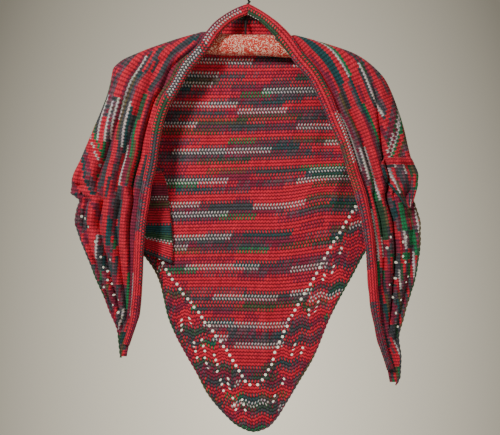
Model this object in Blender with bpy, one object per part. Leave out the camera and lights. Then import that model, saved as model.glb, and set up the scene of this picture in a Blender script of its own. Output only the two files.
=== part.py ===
"""A hand-knitted triangular shawl, hung on a padded hanger.

The shawl is one knitted triangle. Its long cast-off edge curls into a roll that runs from the hook
down both fronts, its ends come over the hanger's arms as two gathered wings, and its point hangs
behind as the back, with a lace border outside two lines of eyelets.

The frame is metres, +Z up, +X to the right as seen from the front, and +Y to the back. The origin
is the inside of the hook's top, where it hangs on a rod. The tables are in millimetres, and `down`
in them is the distance below the origin.
"""

import math

import bmesh
import bpy
import numpy as np
from mathutils import Vector

MM = 0.001
WALL = 2.4  # thickness of the knitted cloth
SEAM = 0.5  # from the middle of a seam to each edge
CLEAR = 0.9  # from the hanger's padding to the cloth that lies over it

# The hook and the padded bar
WIRE_R = 1.6
HOOK_INNER_R = 17.0
STEM_X = -4.0
STEM_DEPTH = 22.0  # how far the wire goes into the padding
BAR_HALF_H = 17.0
BAR_HALF_D = 13.5
BAR_REACH = 203.0

# The eyelets
EYELET = 5.4  # across an eyelet
EYELET_STEP = 9.6  # from one eyelet to the next: two rows and their slant
LACE_EYELET = 5.0
LACE_STEP = 8.2
LACE_LEAN = 2.2

COLOURS = {
    "red knit": (0.50, 0.03, 0.04),
    "dark red knit": (0.20, 0.02, 0.04),
    "green knit": (0.02, 0.12, 0.07),
    "cream and red cover": (0.75, 0.35, 0.25),
    "dark wire": (0.03, 0.03, 0.03),
}


def columns(names, rows):
    """A table as one array for each named column."""
    return dict(zip(names.split(), np.array(rows, float).T))


# Outer edge of each front, from the neck over the arm and down the side fold, then down the lace hem
# to the tip. `side` is the distance from the middle.
LEFT_OUTLINE = columns("down side", (
    (92, 66), (106, 115), (128, 176), (141, 203), (154, 215), (170, 218), (191, 223), (216, 232),
    (245, 244), (269, 254), (300, 267), (325, 279), (347, 281), (362, 270), (376, 270), (397, 272),
    (423, 262), (445, 253), (472, 243), (509, 227), (533, 218), (567, 204), (593, 201), (612, 199),
))
RIGHT_OUTLINE = columns("down side", (
    (99, 74), (108, 108), (130, 172), (148, 198), (170, 218), (205, 234), (245, 247), (296, 259),
    (325, 270), (343, 266), (356, 257), (372, 261), (397, 269), (428, 269), (464, 265), (508, 255),
    (544, 244), (580, 236), (612, 239), (640, 238), (656, 231),
))
# Inner edge of each front, from the neck to the tip
LEFT_FRONT = columns("down side", (
    (85, 29), (106, 50), (128, 63), (156, 91), (186, 107), (204, 120), (236, 130), (261, 136),
    (294, 140), (328, 148), (375, 156), (424, 161), (490, 164), (540, 168), (567, 177), (593, 186),
    (612, 190),
))
RIGHT_FRONT = columns("down side", (
    (80, 16), (96, 29), (112, 48), (136, 67), (164, 93), (192, 109), (231, 125), (258, 138),
    (301, 153), (336, 163), (378, 174), (410, 180), (449, 185), (487, 186), (540, 194), (586, 202),
    (612, 214), (640, 220), (656, 223),
))
# Top edge of the back between the arms, behind the rolled edge
NECK_TOP = columns("x down", (
    (-66, 97), (-45, 79), (-22, 68), (0, 62), (16, 70), (45, 86), (74, 104),
))
# Lace hem of the back, from the left side round the point to the right side
BACK_HEM = columns("x down", (
    (-281, 347), (-240, 376), (-200, 412), (-164, 452), (-150, 472), (-141, 492), (-135, 516),
    (-129, 543), (-119, 569), (-101, 604), (-82, 637), (-66, 668), (-42, 698), (-14, 723), (9, 731),
    (30, 725), (46, 709), (58, 690), (82, 650), (104, 613), (131, 548), (150, 511), (168, 479),
    (184, 449), (210, 412), (240, 372), (266, 343),
))
# The two lines of eyelets, from the left side down to the point and up to the right side
EYELET_LINE = columns("x down", (
    (-255, 270), (-206, 346), (-165, 414), (-122, 487), (-80, 543), (-38, 599), (8, 662),
    (24, 648), (67, 554), (100, 497), (131, 443), (155, 402), (175, 370), (203, 330), (249, 262),
))
APEX_X = 8
PANEL_BELOW_LINE = 8  # from the line of eyelets down to the seam with the border
BACK_COLUMNS = np.concatenate([np.linspace(-254, APEX_X, 17), np.linspace(APEX_X, 248, 15)[1:]])
ROUNDED_ROWS = (0, 0.6, 3, 7, 12, 19)  # below the fold over the arm
HANGING_ROWS = (0.03, 0.06, 0.11, 0.18, 0.27, 0.37, 0.48, 0.59, 0.70, 0.80, 0.90, 1)  # shares of the rest
# How far the back and the fronts lie from the hanger's middle plane
BACK_OUT = columns("down out", (
    (60, 3.4), (75, 7), (92, 14.5), (106, 16.2), (135, 16.2), (200, 15), (350, 12), (500, 10),
    (735, 8),
))
FRONT_OUT = columns("down out", (
    (92, 15.5), (110, 17), (150, 18.5), (200, 20.5), (260, 23), (350, 26), (450, 26), (560, 24),
    (660, 22),
))
# Where a line across each front starts on the outer edge and ends on the inner edge
LEFT_STATIONS = columns("outer inner", (
    (94, 98), (100, 108), (110, 122), (122, 137), (134, 150), (148, 166), (165, 186), (190, 208),
    (216, 230), (245, 256), (272, 280), (300, 305), (325, 329), (347, 351), (370, 374), (397, 400),
    (430, 432), (465, 466), (500, 500), (535, 534), (570, 568), (593, 592), (610, 608),
))
RIGHT_STATIONS = columns("outer inner", (
    (100, 106), (106, 116), (114, 128), (126, 142), (140, 156), (155, 172), (172, 192), (196, 214),
    (222, 236), (250, 260), (276, 284), (300, 306), (325, 329), (348, 351), (372, 374), (400, 402),
    (432, 433), (468, 468), (505, 505), (542, 541), (580, 579), (618, 616), (650, 648),
))
# Folds that run down each front. `across` goes from 0 at the inner edge to 1 at the outer one, at
# the arm, at the side and near the tip; `rise` is towards the front, and a hollow's is negative.
FOLD_PLACES = "across_arm across_side across_tip wide rise_arm rise_side rise_tip"
LEFT_FOLDS = columns(FOLD_PLACES, (
    (0.27, 0.23, 0.28, 0.05, 2, 6, 3),
    (0.36, 0.31, 0.40, 0.035, -1, -7, -5),
    (0.46, 0.40, 0.50, 0.08, 4, 9, 7),
    (0.58, 0.54, 0.62, 0.05, -1, -6, -4),
    (0.70, 0.68, 0.74, 0.08, 2, 8, 5),
    (0.82, 0.80, 0.85, 0.04, 0, -6, -4),
    (0.90, 0.91, 0.95, 0.05, 0, 6, 3),
))
RIGHT_FOLDS = columns(FOLD_PLACES, (
    (0.27, 0.24, 0.28, 0.05, 2, 6, 3),
    (0.36, 0.32, 0.38, 0.035, -1, -7, -5),
    (0.48, 0.42, 0.46, 0.08, 4, 9, 7),
    (0.70, 0.58, 0.62, 0.045, -1, -11, -5),
    (0.82, 0.72, 0.76, 0.08, 4, 8, 5),
    (0.90, 0.88, 0.88, 0.04, 0, -5, -3),
))
UNDER_ROLL = 27  # the cloth is flat this far from its inner edge, where the roll lies on it
FRONT_COLUMNS = 21
RUFFLE = 2.5
RUFFLE_RUN = 9.5
ARM_AT, SIDE_AT, TIP_AT = 130, 340, 600  # `down` of the fold tables' three places
# The rolled edge: its middle, its width and its thickness
ROLL_PLACES = "side down wide thick"
LEFT_ROLL = columns(ROLL_PLACES, (
    (0, 58, 17, 11), (20, 67, 18, 11), (39, 81, 18, 11), (56, 100, 19, 11), (71, 123, 20, 11),
    (96, 152, 20, 11), (114, 183, 19, 11), (131, 212, 18, 11), (143, 250, 18, 11), (150, 300, 18, 11),
    (160, 350, 17, 11), (169, 420, 16, 11), (172, 480, 15, 10), (178, 545, 14, 9), (191, 590, 11, 8),
))
RIGHT_ROLL = columns(ROLL_PLACES, (
    (0, 58, 17, 11), (20, 70, 18, 11), (38, 86, 19, 11), (58, 108, 21, 11), (80, 138, 22, 11),
    (103, 166, 22, 11), (121, 200, 21, 11), (136, 236, 20, 11), (151, 272, 19, 11), (165, 318, 19, 11),
    (177, 356, 18, 11), (188, 410, 17, 11), (194, 470, 16, 11), (199, 530, 15, 10), (210, 585, 13, 9),
    (224, 630, 11, 8),
))
NECK_ROLL_OUT = 8.6  # the rolled edge passes in front of the hook's stem
ROLL_OFF = 1.5  # from the wing's cloth to the roll that lies on it
ROLL_SPLIT = 96  # `down` of the seam between the neck's roll and each front's
ROLL_STEP = 25
ROLL_SEAM = 0.4
# The pleat of the back that laps over it beside the left front: its free edge and its lap
BACK_FOLD = columns("down inner lap", (
    (304, -152, 3), (318, -139, 7), (334, -132, 12), (362, -128, 16), (405, -123, 18), (440, -121, 18),
    (466, -122, 15),
))
BACK_FOLD_OUTER = -168
BACK_FOLD_SLANT = 18  # its lower edge follows the hem, up towards the side
BACK_FOLD_R = 4
# The stretch of lace that folds over the right front, and its upper lip
FLAP = columns("down inner outer", (
    (297, 214, 256), (306, 208, 262), (322, 212, 268), (338, 221, 266), (354, 232, 262), (368, 243, 257),
))
# Lace eyelets in the back's border: a column of them grows down from each place
LACE_COLUMNS = columns("x down count lean", (
    (-142, 497, 3, 0), (-107, 556, 3, 0), (-94, 552, 2, 1), (-88, 590, 4, 1), (-75, 588, 3, 1),
    (-69, 616, 3, 1), (-55, 612, 4, 1), (-45, 651, 3, 1), (-33, 649, 3, 1), (-24, 682, 3, 1),
    (-10, 683, 3, 1), (99, 538, 2, -1), (112, 525, 3, -1), (76, 594, 3, -1), (88, 600, 2, -1),
    (42, 678, 2, -1), (58, 650, 2, -1), (122, 482, 2, -1), (138, 470, 2, -1), (150, 440, 2, -1),
))
# Lace eyelets in each front's border, `across` it and `down` it
FRONT_EYELETS = columns("down across", (
    (390, 0.35), (408, 0.68), (436, 0.40), (455, 0.68), (476, 0.36), (492, 0.68), (512, 0.38),
    (528, 0.64),
))


def along(table, key, name, at):
    """A column of a table at values of its key column, on a smooth curve that never overshoots."""
    xs, ys = table[key], table[name]
    steps, slopes = np.diff(xs), np.diff(ys) / np.diff(xs)
    a, b = slopes[:-1], slopes[1:]
    weights = 3 * (steps[:-1] + steps[1:])
    with np.errstate(divide="ignore", invalid="ignore"):
        middle = weights / ((2 * steps[1:] + steps[:-1]) / a + (steps[1:] + 2 * steps[:-1]) / b)
    tangents = np.concatenate([slopes[:1], np.where(a * b > 0, middle, 0), slopes[-1:]])
    at = np.clip(np.asarray(at, float), xs[0], xs[-1])
    i = np.clip(np.searchsorted(xs, at, side="right") - 1, 0, len(steps) - 1)
    u = (at - xs[i]) / steps[i]
    return (
        ys[i] * (1 + 2 * u) * (1 - u) ** 2
        + tangents[i] * steps[i] * u * (1 - u) ** 2
        + ys[i + 1] * u * u * (3 - 2 * u)
        - tangents[i + 1] * steps[i] * u * u * (1 - u)
    )


def ease(x):
    """0 below 0, 1 above 1, and a soft step between."""
    x = np.clip(x, 0, 1)
    return x * x * (3 - 2 * x)


def side_fold(outline, last):
    """Points along the fold over the arm and down the side, as x distance and down, closely spaced."""
    down = np.linspace(outline["down"][0], last, 160)
    return along(outline, "down", "side", down), down


RIDGES = {-1: side_fold(LEFT_OUTLINE, 347), 1: side_fold(RIGHT_OUTLINE, 334)}


def from_fold(side, x, down):
    """Distance from a point to the fold that goes over the arm and down the side."""
    fold_x, fold_down = RIDGES[side]
    gaps = np.hypot(np.abs(x)[..., None] - fold_x, down[..., None] - fold_down)
    return gaps.min(-1)


def rounding(side, x, down):
    """0 on the fold, 1 where the cloth has turned down: over the arm it follows the padding."""
    radius = BAR_HALF_H + CLEAR + WALL / 2 - 11 * ease((down - 150) / 150)
    left = 1 - np.clip(from_fold(side, x, down) / radius, 0, 1)
    return np.sqrt(np.clip(1 - left**2, 0, 1))


def back_y(x, down):
    """How far back the middle of the back's cloth lies."""
    x, down = np.broadcast_arrays(np.asarray(x, float), np.asarray(down, float))
    out = along(BACK_OUT, "down", "out", down)
    out = out + 2.2 * ease((down - 480) / 120) * np.sin((x - 27) / 26) * np.exp(-(((x - 20) / 70) ** 2))
    out = out - 5 * np.exp(-(((x - 120 + (down - 330) * 0.5) / 26) ** 2)) * ease((down - 230) / 80) * (
        ease((470 - down) / 90)
    )
    left = rounding(-1, x, down)
    right = rounding(1, x, down)
    turn = np.where(x < 0, left, right)
    at_neck = ease((78 - np.abs(x)) / 16)
    turn = turn * (1 - at_neck) + at_neck
    return SEAM + (out - SEAM) * turn


def hem_wave(x, down):
    """The lace hem's soft waves."""
    return 3.0 * np.sin(x / 11 + down / 19)


def back_points(x, down, wave=0.0):
    y = back_y(x, down) + wave * hem_wave(x, down)
    return np.stack([x, y, -down], -1) * MM


def lines_between(upper, lower, shares):
    """Rows of points from an upper line to a lower one, both as (x, down)."""
    upper, lower, shares = np.array(upper), np.array(lower), np.asarray(shares)[:, None, None]
    points = upper.T[None] * (1 - shares) + lower.T[None] * shares
    return points[..., 0], points[..., 1]


def back_top(x):
    """Upper edge of the back, along the neck and over the arms."""
    neck = along(NECK_TOP, "x", "down", x)
    arms = np.where(
        x < 0,
        along(columns_of(LEFT_OUTLINE, 13), "side", "down", -x),
        along(columns_of(RIGHT_OUTLINE, 9), "side", "down", x),
    )
    return np.where((x > -66) & (x < 74), neck, arms)


def columns_of(table, rows):
    """The first rows of a table."""
    return {name: values[:rows] for name, values in table.items()}


def new_object(name, bm, colour):
    mesh = bpy.data.meshes.new(name)
    bm.to_mesh(mesh)
    bm.free()
    mesh.shade_smooth()
    material = bpy.data.materials.get(colour) or bpy.data.materials.new(colour)
    material.use_nodes = True
    shader = material.node_tree.nodes["Principled BSDF"]
    shader.inputs["Base Color"].default_value = (*COLOURS[colour], 1)
    shader.inputs["Roughness"].default_value = 0.4 if colour == "dark wire" else 0.9
    shader.inputs["Metallic"].default_value = 1.0 if colour == "dark wire" else 0.0
    mesh.materials.append(material)
    obj = bpy.data.objects.new(name, mesh)
    bpy.context.collection.objects.link(obj)
    return obj


def sheet(name, points, colour):
    """A wall of cloth whose middle passes through a grid of points."""
    rows, count = points.shape[:2]
    bm = bmesh.new()
    bmesh.ops.create_grid(bm, x_segments=count - 1, y_segments=rows - 1, size=1)
    bm.verts.ensure_lookup_table()
    for vert, place in zip(bm.verts, points.reshape(-1, 3)):
        vert.co = place
    obj = new_object(name, bm, colour)
    wall = obj.modifiers.new("wall", "SOLIDIFY")
    wall.thickness = WALL * MM
    wall.offset = 0
    return obj


def cutter_for(obj, places, normals, width):
    """Cuts a four-sided eyelet through a wall at each place, turned to stand on its corner."""
    bm = bmesh.new()
    for place, normal in zip(places, normals):
        made = bmesh.ops.create_cone(
            bm, cap_ends=True, segments=4, radius1=width * MM / 2, radius2=width * MM / 2, depth=12 * MM
        )
        turn = Vector(normal).to_track_quat("Z", "Y").to_matrix().to_4x4()
        bmesh.ops.transform(bm, matrix=turn, verts=made["verts"])
        bmesh.ops.translate(bm, vec=Vector(place), verts=made["verts"])
    cutter = new_object(obj.name + "_eyelets", bm, "red knit")
    cutter.hide_render = True
    cutter.display_type = "WIRE"
    cut = obj.modifiers.new("eyelets", "BOOLEAN")
    cut.object = cutter
    cut.operation = "DIFFERENCE"
    cut.solver = "EXACT"


def eyelet_line(first, last):
    """Places of the eyelets along a stretch of the line, evenly spaced along it, as (x, down)."""
    x = np.linspace(first, last, 400)
    down = along(EYELET_LINE, "x", "down", x)
    run = np.concatenate([[0], np.cumsum(np.hypot(np.diff(x), np.diff(down)))])
    at = np.arange(EYELET_STEP / 2, run[-1], EYELET_STEP)
    return np.interp(at, run, x), np.interp(at, run, down)


def back_holes(obj, x, down, width, wave=0.0):
    step = 2.0
    here = back_points(x, down, wave)
    along_x = back_points(x + step, down, wave) - here
    along_down = back_points(x, down + step, wave) - here
    cutter_for(obj, here, np.cross(along_x, along_down), width)


def make_back_panel():
    x = BACK_COLUMNS
    top = back_top(x)
    low = along(EYELET_LINE, "x", "down", x) + PANEL_BELOW_LINE
    slope = np.sqrt(1 + np.clip(np.gradient(top, x), -1.6, 1.6) ** 2)
    rounded = np.array(ROUNDED_ROWS)[:, None] * np.minimum(slope, (low - top) / 28)
    rows = [top + fall for fall in rounded]
    for share in HANGING_ROWS:
        rows.append(rows[len(ROUNDED_ROWS) - 1] * (1 - share) + low * share)
    down = np.array(rows)
    panel = sheet("back_panel", back_points(np.broadcast_to(x, down.shape), down), "red knit")
    left = eyelet_line(-238, 5)
    right = eyelet_line(12, 236)
    holes = np.concatenate([left, right], 1)
    back_holes(panel, holes[0], holes[1], EYELET)


def border_line(table, x, lower=0.0):
    """Points of one of the back's lines, as (x, down)."""
    return x, along(table, "x", "down", x) + lower


def hem_columns(x, first, last):
    """Where each of the back's columns comes down to on the hem: at the same share of its length."""
    run = np.concatenate([[0], np.cumsum(np.hypot(*np.diff(border_line(EYELET_LINE, x))))])
    fine = np.linspace(first, last, 400)
    hem = np.concatenate([[0], np.cumsum(np.hypot(*np.diff(border_line(BACK_HEM, fine))))])
    return np.interp(run / run[-1] * hem[-1], hem, fine)


def make_back_borders():
    across = np.linspace(0, 1, 6)[:, None]
    for name, inside, hem_ends, bulge in (
        ("back_border_left", BACK_COLUMNS <= APEX_X, (-281, APEX_X - SEAM), -6),
        ("back_border_right", BACK_COLUMNS >= APEX_X, (APEX_X + SEAM, 266), 8),
    ):
        x = BACK_COLUMNS[inside]
        top_end = 0 if bulge < 0 else -1
        upper = border_line(EYELET_LINE, x + (np.sign(bulge) * SEAM) * (x == APEX_X), PANEL_BELOW_LINE + 0.7)
        lower = border_line(BACK_HEM, hem_columns(x, *hem_ends))
        x, down = lines_between(upper, lower, across[:, 0])
        x[:, top_end] += bulge * np.sin(np.pi * across[:, 0])
        border = sheet(name, back_points(x, down, across**2), "dark red knit")
        lace_x, lace_down = [], []
        on_this_side = (LACE_COLUMNS["x"] < APEX_X) == (bulge < 0)
        table = {key: values[on_this_side] for key, values in LACE_COLUMNS.items()}
        for x0, down0, count, lean in zip(*table.values()):
            for k in range(int(count)):
                lace_x.append(x0 + lean * LACE_LEAN * k)
                lace_down.append(down0 + LACE_STEP * k)
        back_holes(border, np.array(lace_x), np.array(lace_down), LACE_EYELET, 0.4)


def front_folds(folds, across, down):
    """How far the folds of a front stand forward."""
    rise = 0
    for i in range(len(folds["wide"])):
        places = {"down": np.array([ARM_AT, SIDE_AT, TIP_AT], float)}
        places["across"] = np.array([folds["across_" + w][i] for w in ("arm", "side", "tip")])
        places["rise"] = np.array([folds["rise_" + w][i] for w in ("arm", "side", "tip")])
        middle = along(places, "down", "across", down)
        height = along(places, "down", "rise", down)
        rise = rise + height * np.exp(-(((across - middle) / folds["wide"][i]) ** 2))
    return rise


def front_points(side, across, outer_down, inner_down, ahead=0.0):
    """Points of a front's cloth: `across` is 0 at its inner edge and 1 at its outer one."""
    outline, front, folds = (
        (LEFT_OUTLINE, LEFT_FRONT, LEFT_FOLDS) if side < 0 else (RIGHT_OUTLINE, RIGHT_FRONT, RIGHT_FOLDS)
    )
    down = inner_down + (outer_down - inner_down) * across
    inner = along(front, "down", "side", inner_down) + 2
    outer = along(outline, "down", "side", outer_down)
    x = inner + (outer - inner) * across
    turn = rounding(side, x, down)
    turn = turn + (1 - turn) * ease((outer_down - 335) / 40)
    clear_of_fold = np.clip(from_fold(side, x, down) / 34, 0, 1)
    clear_of_fold = clear_of_fold + (1 - clear_of_fold) * ease((outer_down - 330) / 40)
    fade = ease(clear_of_fold) * ease((650 - down) / 90)
    out = along(FRONT_OUT, "down", "out", down) + front_folds(folds, across, down) * fade + ahead
    behind_roll = ease((UNDER_ROLL - (x - inner)) / 9)
    out = out * (1 - behind_roll) + along(FRONT_OUT, "down", "out", down) * behind_roll
    y = -SEAM - (out - SEAM) * turn
    return np.stack([side * x, y, -down], -1) * MM


def ruffle(across, down):
    """The lace hem's own waves, which die out towards the plain knitting."""
    return RUFFLE * ease((across - 0.45) / 0.5) * ease((down - 330) / 40) * np.sin(down / RUFFLE_RUN)


def make_front(side, name, stations):
    outer_down = stations["outer"][:, None]
    inner_down = stations["inner"][:, None]
    across = np.concatenate([np.linspace(0, 1, FRONT_COLUMNS)[:-1], [0.985, 0.9985]])[None]
    points = front_points(side, across, outer_down, inner_down, ruffle(across, outer_down))
    front = sheet(name, points, "red knit")
    down, across = FRONT_EYELETS["down"], FRONT_EYELETS["across"]
    here = front_points(side, across, down, down, ruffle(across, down))
    along_across = front_points(side, across + 0.02, down, down, ruffle(across + 0.02, down)) - here
    along_down = front_points(side, across, down + 2, down + 2, ruffle(across, down + 2)) - here
    cutter_for(front, here, np.cross(along_across, along_down), LACE_EYELET)


def roll_path(table, side):
    """A rolled edge's middle line, widths and thicknesses, at even steps."""
    run = np.concatenate([[0], np.cumsum(np.hypot(np.diff(table["side"]), np.diff(table["down"])))])
    by_run = {"run": run, **table}
    at = np.linspace(0, run[-1], int(run[-1] / ROLL_STEP))
    read = {name: along(by_run, "run", name, at) for name in table}
    on_wing = along(FRONT_OUT, "down", "out", read["down"]) + WALL / 2 + ROLL_OFF + read["thick"] / 2
    past_neck = ease((read["down"] - 56) / 42)
    out = NECK_ROLL_OUT + (on_wing - NECK_ROLL_OUT) * past_neck
    middle = np.stack([side * read["side"], -out, -read["down"]], -1)
    ahead = np.gradient(middle, axis=0)
    ahead[0] = (side, 0, 0)
    return middle, ahead, read["wide"], read["thick"]


def roll_wall(name, middle, ahead, wide, thick, side):
    """The curled edge: a wall rolled almost into a tube, open towards the wing behind it."""
    depth = np.array([0, 1.0, 0])
    across = np.cross(ahead, depth)
    across /= np.linalg.norm(across, axis=1)[:, None]
    turns = np.radians(np.linspace(52, 52 + 322, 11)) * -side
    half_w = (wide - WALL)[:, None, None] / 2
    half_t = (thick - WALL)[:, None, None] / 2
    ring = across[:, None] * np.cos(turns)[None, :, None] * half_w * -1
    ring = ring + depth[None, None] * np.sin(turns)[None, :, None] * half_t * -side
    sheet(name, (middle[:, None] + ring) * MM, "dark red knit")


def make_rolls():
    halves = {}
    for side, table, name in ((-1, LEFT_ROLL, "left_front_roll"), (1, RIGHT_ROLL, "right_front_roll")):
        path = roll_path(table, side)
        split = int(np.argmax(-path[0][:, 2] > ROLL_SPLIT))
        roll_wall(name, *(values[split:] for values in path), side)
        neck = [values[: split + 1].copy() for values in path]
        neck[0][-1] -= neck[1][-1] / np.linalg.norm(neck[1][-1]) * ROLL_SEAM
        halves[side] = neck
    halves[-1][1] *= -1
    joined = [np.concatenate([left[::-1], right[1:]]) for left, right in zip(halves[-1], halves[1])]
    roll_wall("neck_roll", *joined, 1)


def bar_middle(x):
    """Middle line of the padded bar, worked out from the fold that lies over it."""
    outline = np.where(
        x < 0,
        along(columns_of(LEFT_OUTLINE, 5), "side", "down", -x),
        along(columns_of(RIGHT_OUTLINE, 5), "side", "down", x),
    )
    level = 96 - CLEAR
    outline = outline + ease((80 - np.abs(x)) / 60) * (level - outline)
    return outline + CLEAR + WALL / 2 + BAR_HALF_H


def make_hanger():
    x = np.concatenate([[-BAR_REACH, -199, -190], np.linspace(-172, 172, 13), [190, 199, BAR_REACH]])
    end = np.sqrt(np.clip(1 - ((np.abs(x) - 172) / (BAR_REACH + 0.5 - 172)) ** 2, 0, 1))
    end[np.abs(x) <= 172] = 1
    middle = bar_middle(x)
    turns = np.linspace(0, 2 * np.pi, 15)[:-1]
    bm = bmesh.new()
    rings = []
    for at, low, share in zip(x, middle, end):
        half_h, half_d = BAR_HALF_H * share, BAR_HALF_D * share
        ring = [
            bm.verts.new((at * MM, half_d * math.cos(t) * MM, (half_h * math.sin(t) - low) * MM))
            for t in turns
        ]
        rings.append(ring)
    for one, two in zip(rings, rings[1:]):
        for i in range(len(turns)):
            j = (i + 1) % len(turns)
            bm.faces.new((one[i], one[j], two[j], two[i]))
    bm.faces.new(rings[0])
    bm.faces.new(rings[-1])
    bmesh.ops.recalc_face_normals(bm, faces=bm.faces)
    body = new_object("hanger_body", bm, "cream and red cover")
    top = float(bar_middle(np.array([STEM_X]))[0]) - BAR_HALF_H
    bm = bmesh.new()
    made = bmesh.ops.create_cone(
        bm,
        cap_ends=True,
        segments=12,
        radius1=(WIRE_R + 0.5) * MM,
        radius2=(WIRE_R + 0.5) * MM,
        depth=2 * (STEM_DEPTH + 1) * MM,
    )
    bmesh.ops.translate(bm, vec=(STEM_X * MM, 0, -top * MM), verts=made["verts"])
    hole = new_object("stem_hole", bm, "dark wire")
    hole.hide_render = True
    hole.display_type = "WIRE"
    cut = body.modifiers.new("stem_hole", "BOOLEAN")
    cut.object = hole
    cut.operation = "DIFFERENCE"
    cut.solver = "EXACT"
    return top


def make_hook(top):
    """The wire: up out of the padding, round the hook, and its bent end."""
    radius = HOOK_INNER_R + WIRE_R
    points = [(STEM_X, -(top + STEM_DEPTH)), (STEM_X, -top), (STEM_X * 0.9, -80), (STEM_X * 0.5, -62)]
    points += [(0, -50), (1.5, -45), (-1, -40)]
    for angle in np.radians(np.arange(238, -26, -22)):
        points.append((radius * math.cos(angle), radius * math.sin(angle) - HOOK_INNER_R))
    curve = bpy.data.curves.new("hanger_hook", "CURVE")
    curve.dimensions = "3D"
    curve.bevel_depth = WIRE_R * MM
    curve.bevel_resolution = 2
    curve.use_fill_caps = True
    spline = curve.splines.new("POLY")
    smooth = smooth_route(points)
    spline.points.add(len(smooth) - 1)
    for point, (x, z) in zip(spline.points, smooth):
        point.co = (x * MM, 0, z * MM, 1)
    obj = bpy.data.objects.new("hanger_hook", curve)
    material = bpy.data.materials.get("dark wire")
    curve.materials.append(material)
    bpy.context.collection.objects.link(obj)


def smooth_route(points):
    """Closely spaced points on a smooth curve through a route's own points."""
    points = np.array(points, float)
    ends = np.vstack([2 * points[0] - points[1], points, 2 * points[-1] - points[-2]])
    out = []
    for i in range(1, len(ends) - 2):
        a, b, c, d = ends[i - 1 : i + 3]
        for u in (0, 0.5):
            out.append(
                0.5 * (2 * b + (c - a) * u + (2 * a - 5 * b + 4 * c - d) * u**2 + (3 * b - a - 3 * c + d) * u**3)
            )
    out.append(points[-1])
    return out


def make_back_fold():
    """The pleat beside the left front: it laps over the back and turns under at its edge."""
    turn = np.radians([45, 90, 135, 180])
    rows = []
    for down in np.linspace(304, 466, 11):
        inner = float(along(BACK_FOLD, "down", "inner", down))
        lap = float(along(BACK_FOLD, "down", "lap", down))
        flat = np.linspace(BACK_FOLD_OUTER, inner - BACK_FOLD_R, 6)
        x = np.concatenate([flat, inner - BACK_FOLD_R * (1 - np.sin(turn)), [inner - BACK_FOLD_R - lap]])
        lift = np.concatenate([6.8 - 1.2 * ((flat - inner) / 40) ** 2, 4.3 + 2.5 * np.cos(turn), [1.8]])
        slant = BACK_FOLD_SLANT * ease((down - 400) / 60)
        levels = down - slant * (inner - x) / (inner - BACK_FOLD_OUTER)
        y = back_y(x, levels) - lift - WALL / 2
        rows.append(np.stack([x, y, -levels], -1) * MM)
    sheet("left_back_fold", np.array(rows), "green knit")


def make_flap():
    """The stretch of lace that folds over the right front."""
    downs = np.linspace(297, 368, 7)
    rows = []
    for down in downs:
        inner = float(along(FLAP, "down", "inner", down))
        outer = float(along(FLAP, "down", "outer", down))
        x = np.linspace(inner, outer, 6)
        edge = along(RIGHT_OUTLINE, "down", "side", down)
        front = along(RIGHT_FRONT, "down", "side", down) + 2
        across = (x - front) / (edge - front)
        under = front_points(1, across, np.full_like(x, down), np.full_like(x, down))
        under[:, 1] -= (WALL + 7 + 2 * np.sin(np.linspace(0, np.pi, 6))) * MM
        rows.append(under)
    sheet("right_wing_flap", np.array(rows), "green knit")


def main():
    for obj in list(bpy.data.objects):
        bpy.data.objects.remove(obj, do_unlink=True)
    top = make_hanger()
    make_hook(top)
    make_back_panel()
    make_back_borders()
    make_back_fold()
    make_front(-1, "left_wing", LEFT_STATIONS)
    make_front(1, "right_wing", RIGHT_STATIONS)
    make_rolls()
    make_flap()


main()
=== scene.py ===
"""A hand-knitted triangle shawl on a padded hanger.

The shawl is knitted here stitch by stitch: each stretch of it is a chart of small cells, in stitches
and rows, which is draped over the hanger, given the relief of its stitches and then a wall. Its tables
are those of the solids, but for the left front's outline, the folds of both fronts and the flap's tip,
which are closer to the photo here. The yarn changes colour along its length, and is laid row by row.
The tables are in millimetres, and `down` in them is the distance below the origin, the inside of the
hook's top.
"""

import math

import bmesh
import bpy
import numpy as np
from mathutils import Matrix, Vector


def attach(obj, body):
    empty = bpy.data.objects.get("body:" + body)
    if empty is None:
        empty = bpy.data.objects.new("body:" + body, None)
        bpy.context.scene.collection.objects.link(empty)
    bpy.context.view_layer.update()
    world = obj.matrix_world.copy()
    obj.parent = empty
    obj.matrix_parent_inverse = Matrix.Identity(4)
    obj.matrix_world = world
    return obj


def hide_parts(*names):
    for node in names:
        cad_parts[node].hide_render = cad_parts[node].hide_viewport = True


bl_info = {
    "name": "Triangle shawl",
    "version": (1, 0, 0),
    "blender": (4, 5, 0),
    "location": "View3D > Sidebar > Shawl",
    "description": "Knits a triangular shawl over its padded hanger",
    "category": "Object",
}

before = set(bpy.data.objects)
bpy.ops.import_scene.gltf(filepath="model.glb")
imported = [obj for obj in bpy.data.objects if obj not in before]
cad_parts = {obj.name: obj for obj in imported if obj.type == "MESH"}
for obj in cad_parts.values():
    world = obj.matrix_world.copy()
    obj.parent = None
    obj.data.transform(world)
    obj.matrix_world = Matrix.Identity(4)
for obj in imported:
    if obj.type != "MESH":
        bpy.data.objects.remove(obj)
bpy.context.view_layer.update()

MM = 0.001
SEAM = 0.5  # from the hanger's middle plane to the cloth at the fold over its arms
CLEAR = 0.9  # between the padded bar and the cloth over it
CAD_WALL = 2.4  # the cloth's thickness in the solids
WIRE_R = 1.6
HOOK_INNER_R = 17.0
STEM_X = -4.0  # where the hook's stem goes into the padding
STEM_DEPTH = 20.0
BAR_HALF_H = 17.0
BAR_HALF_D = 13.5
BAR_REACH = 203.0
GATHERS_FROM = 176.0  # from the middle to where the cover's gathers begin
ROUNDS_FROM = 172.0  # from the middle to where the bar's rounded ends begin


def columns(names, rows):
    """A table as one array for each named column."""
    return dict(zip(names.split(), np.array(rows, float).T))


def columns_of(table, rows):
    """The first rows of a table."""
    return {name: values[:rows] for name, values in table.items()}


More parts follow.
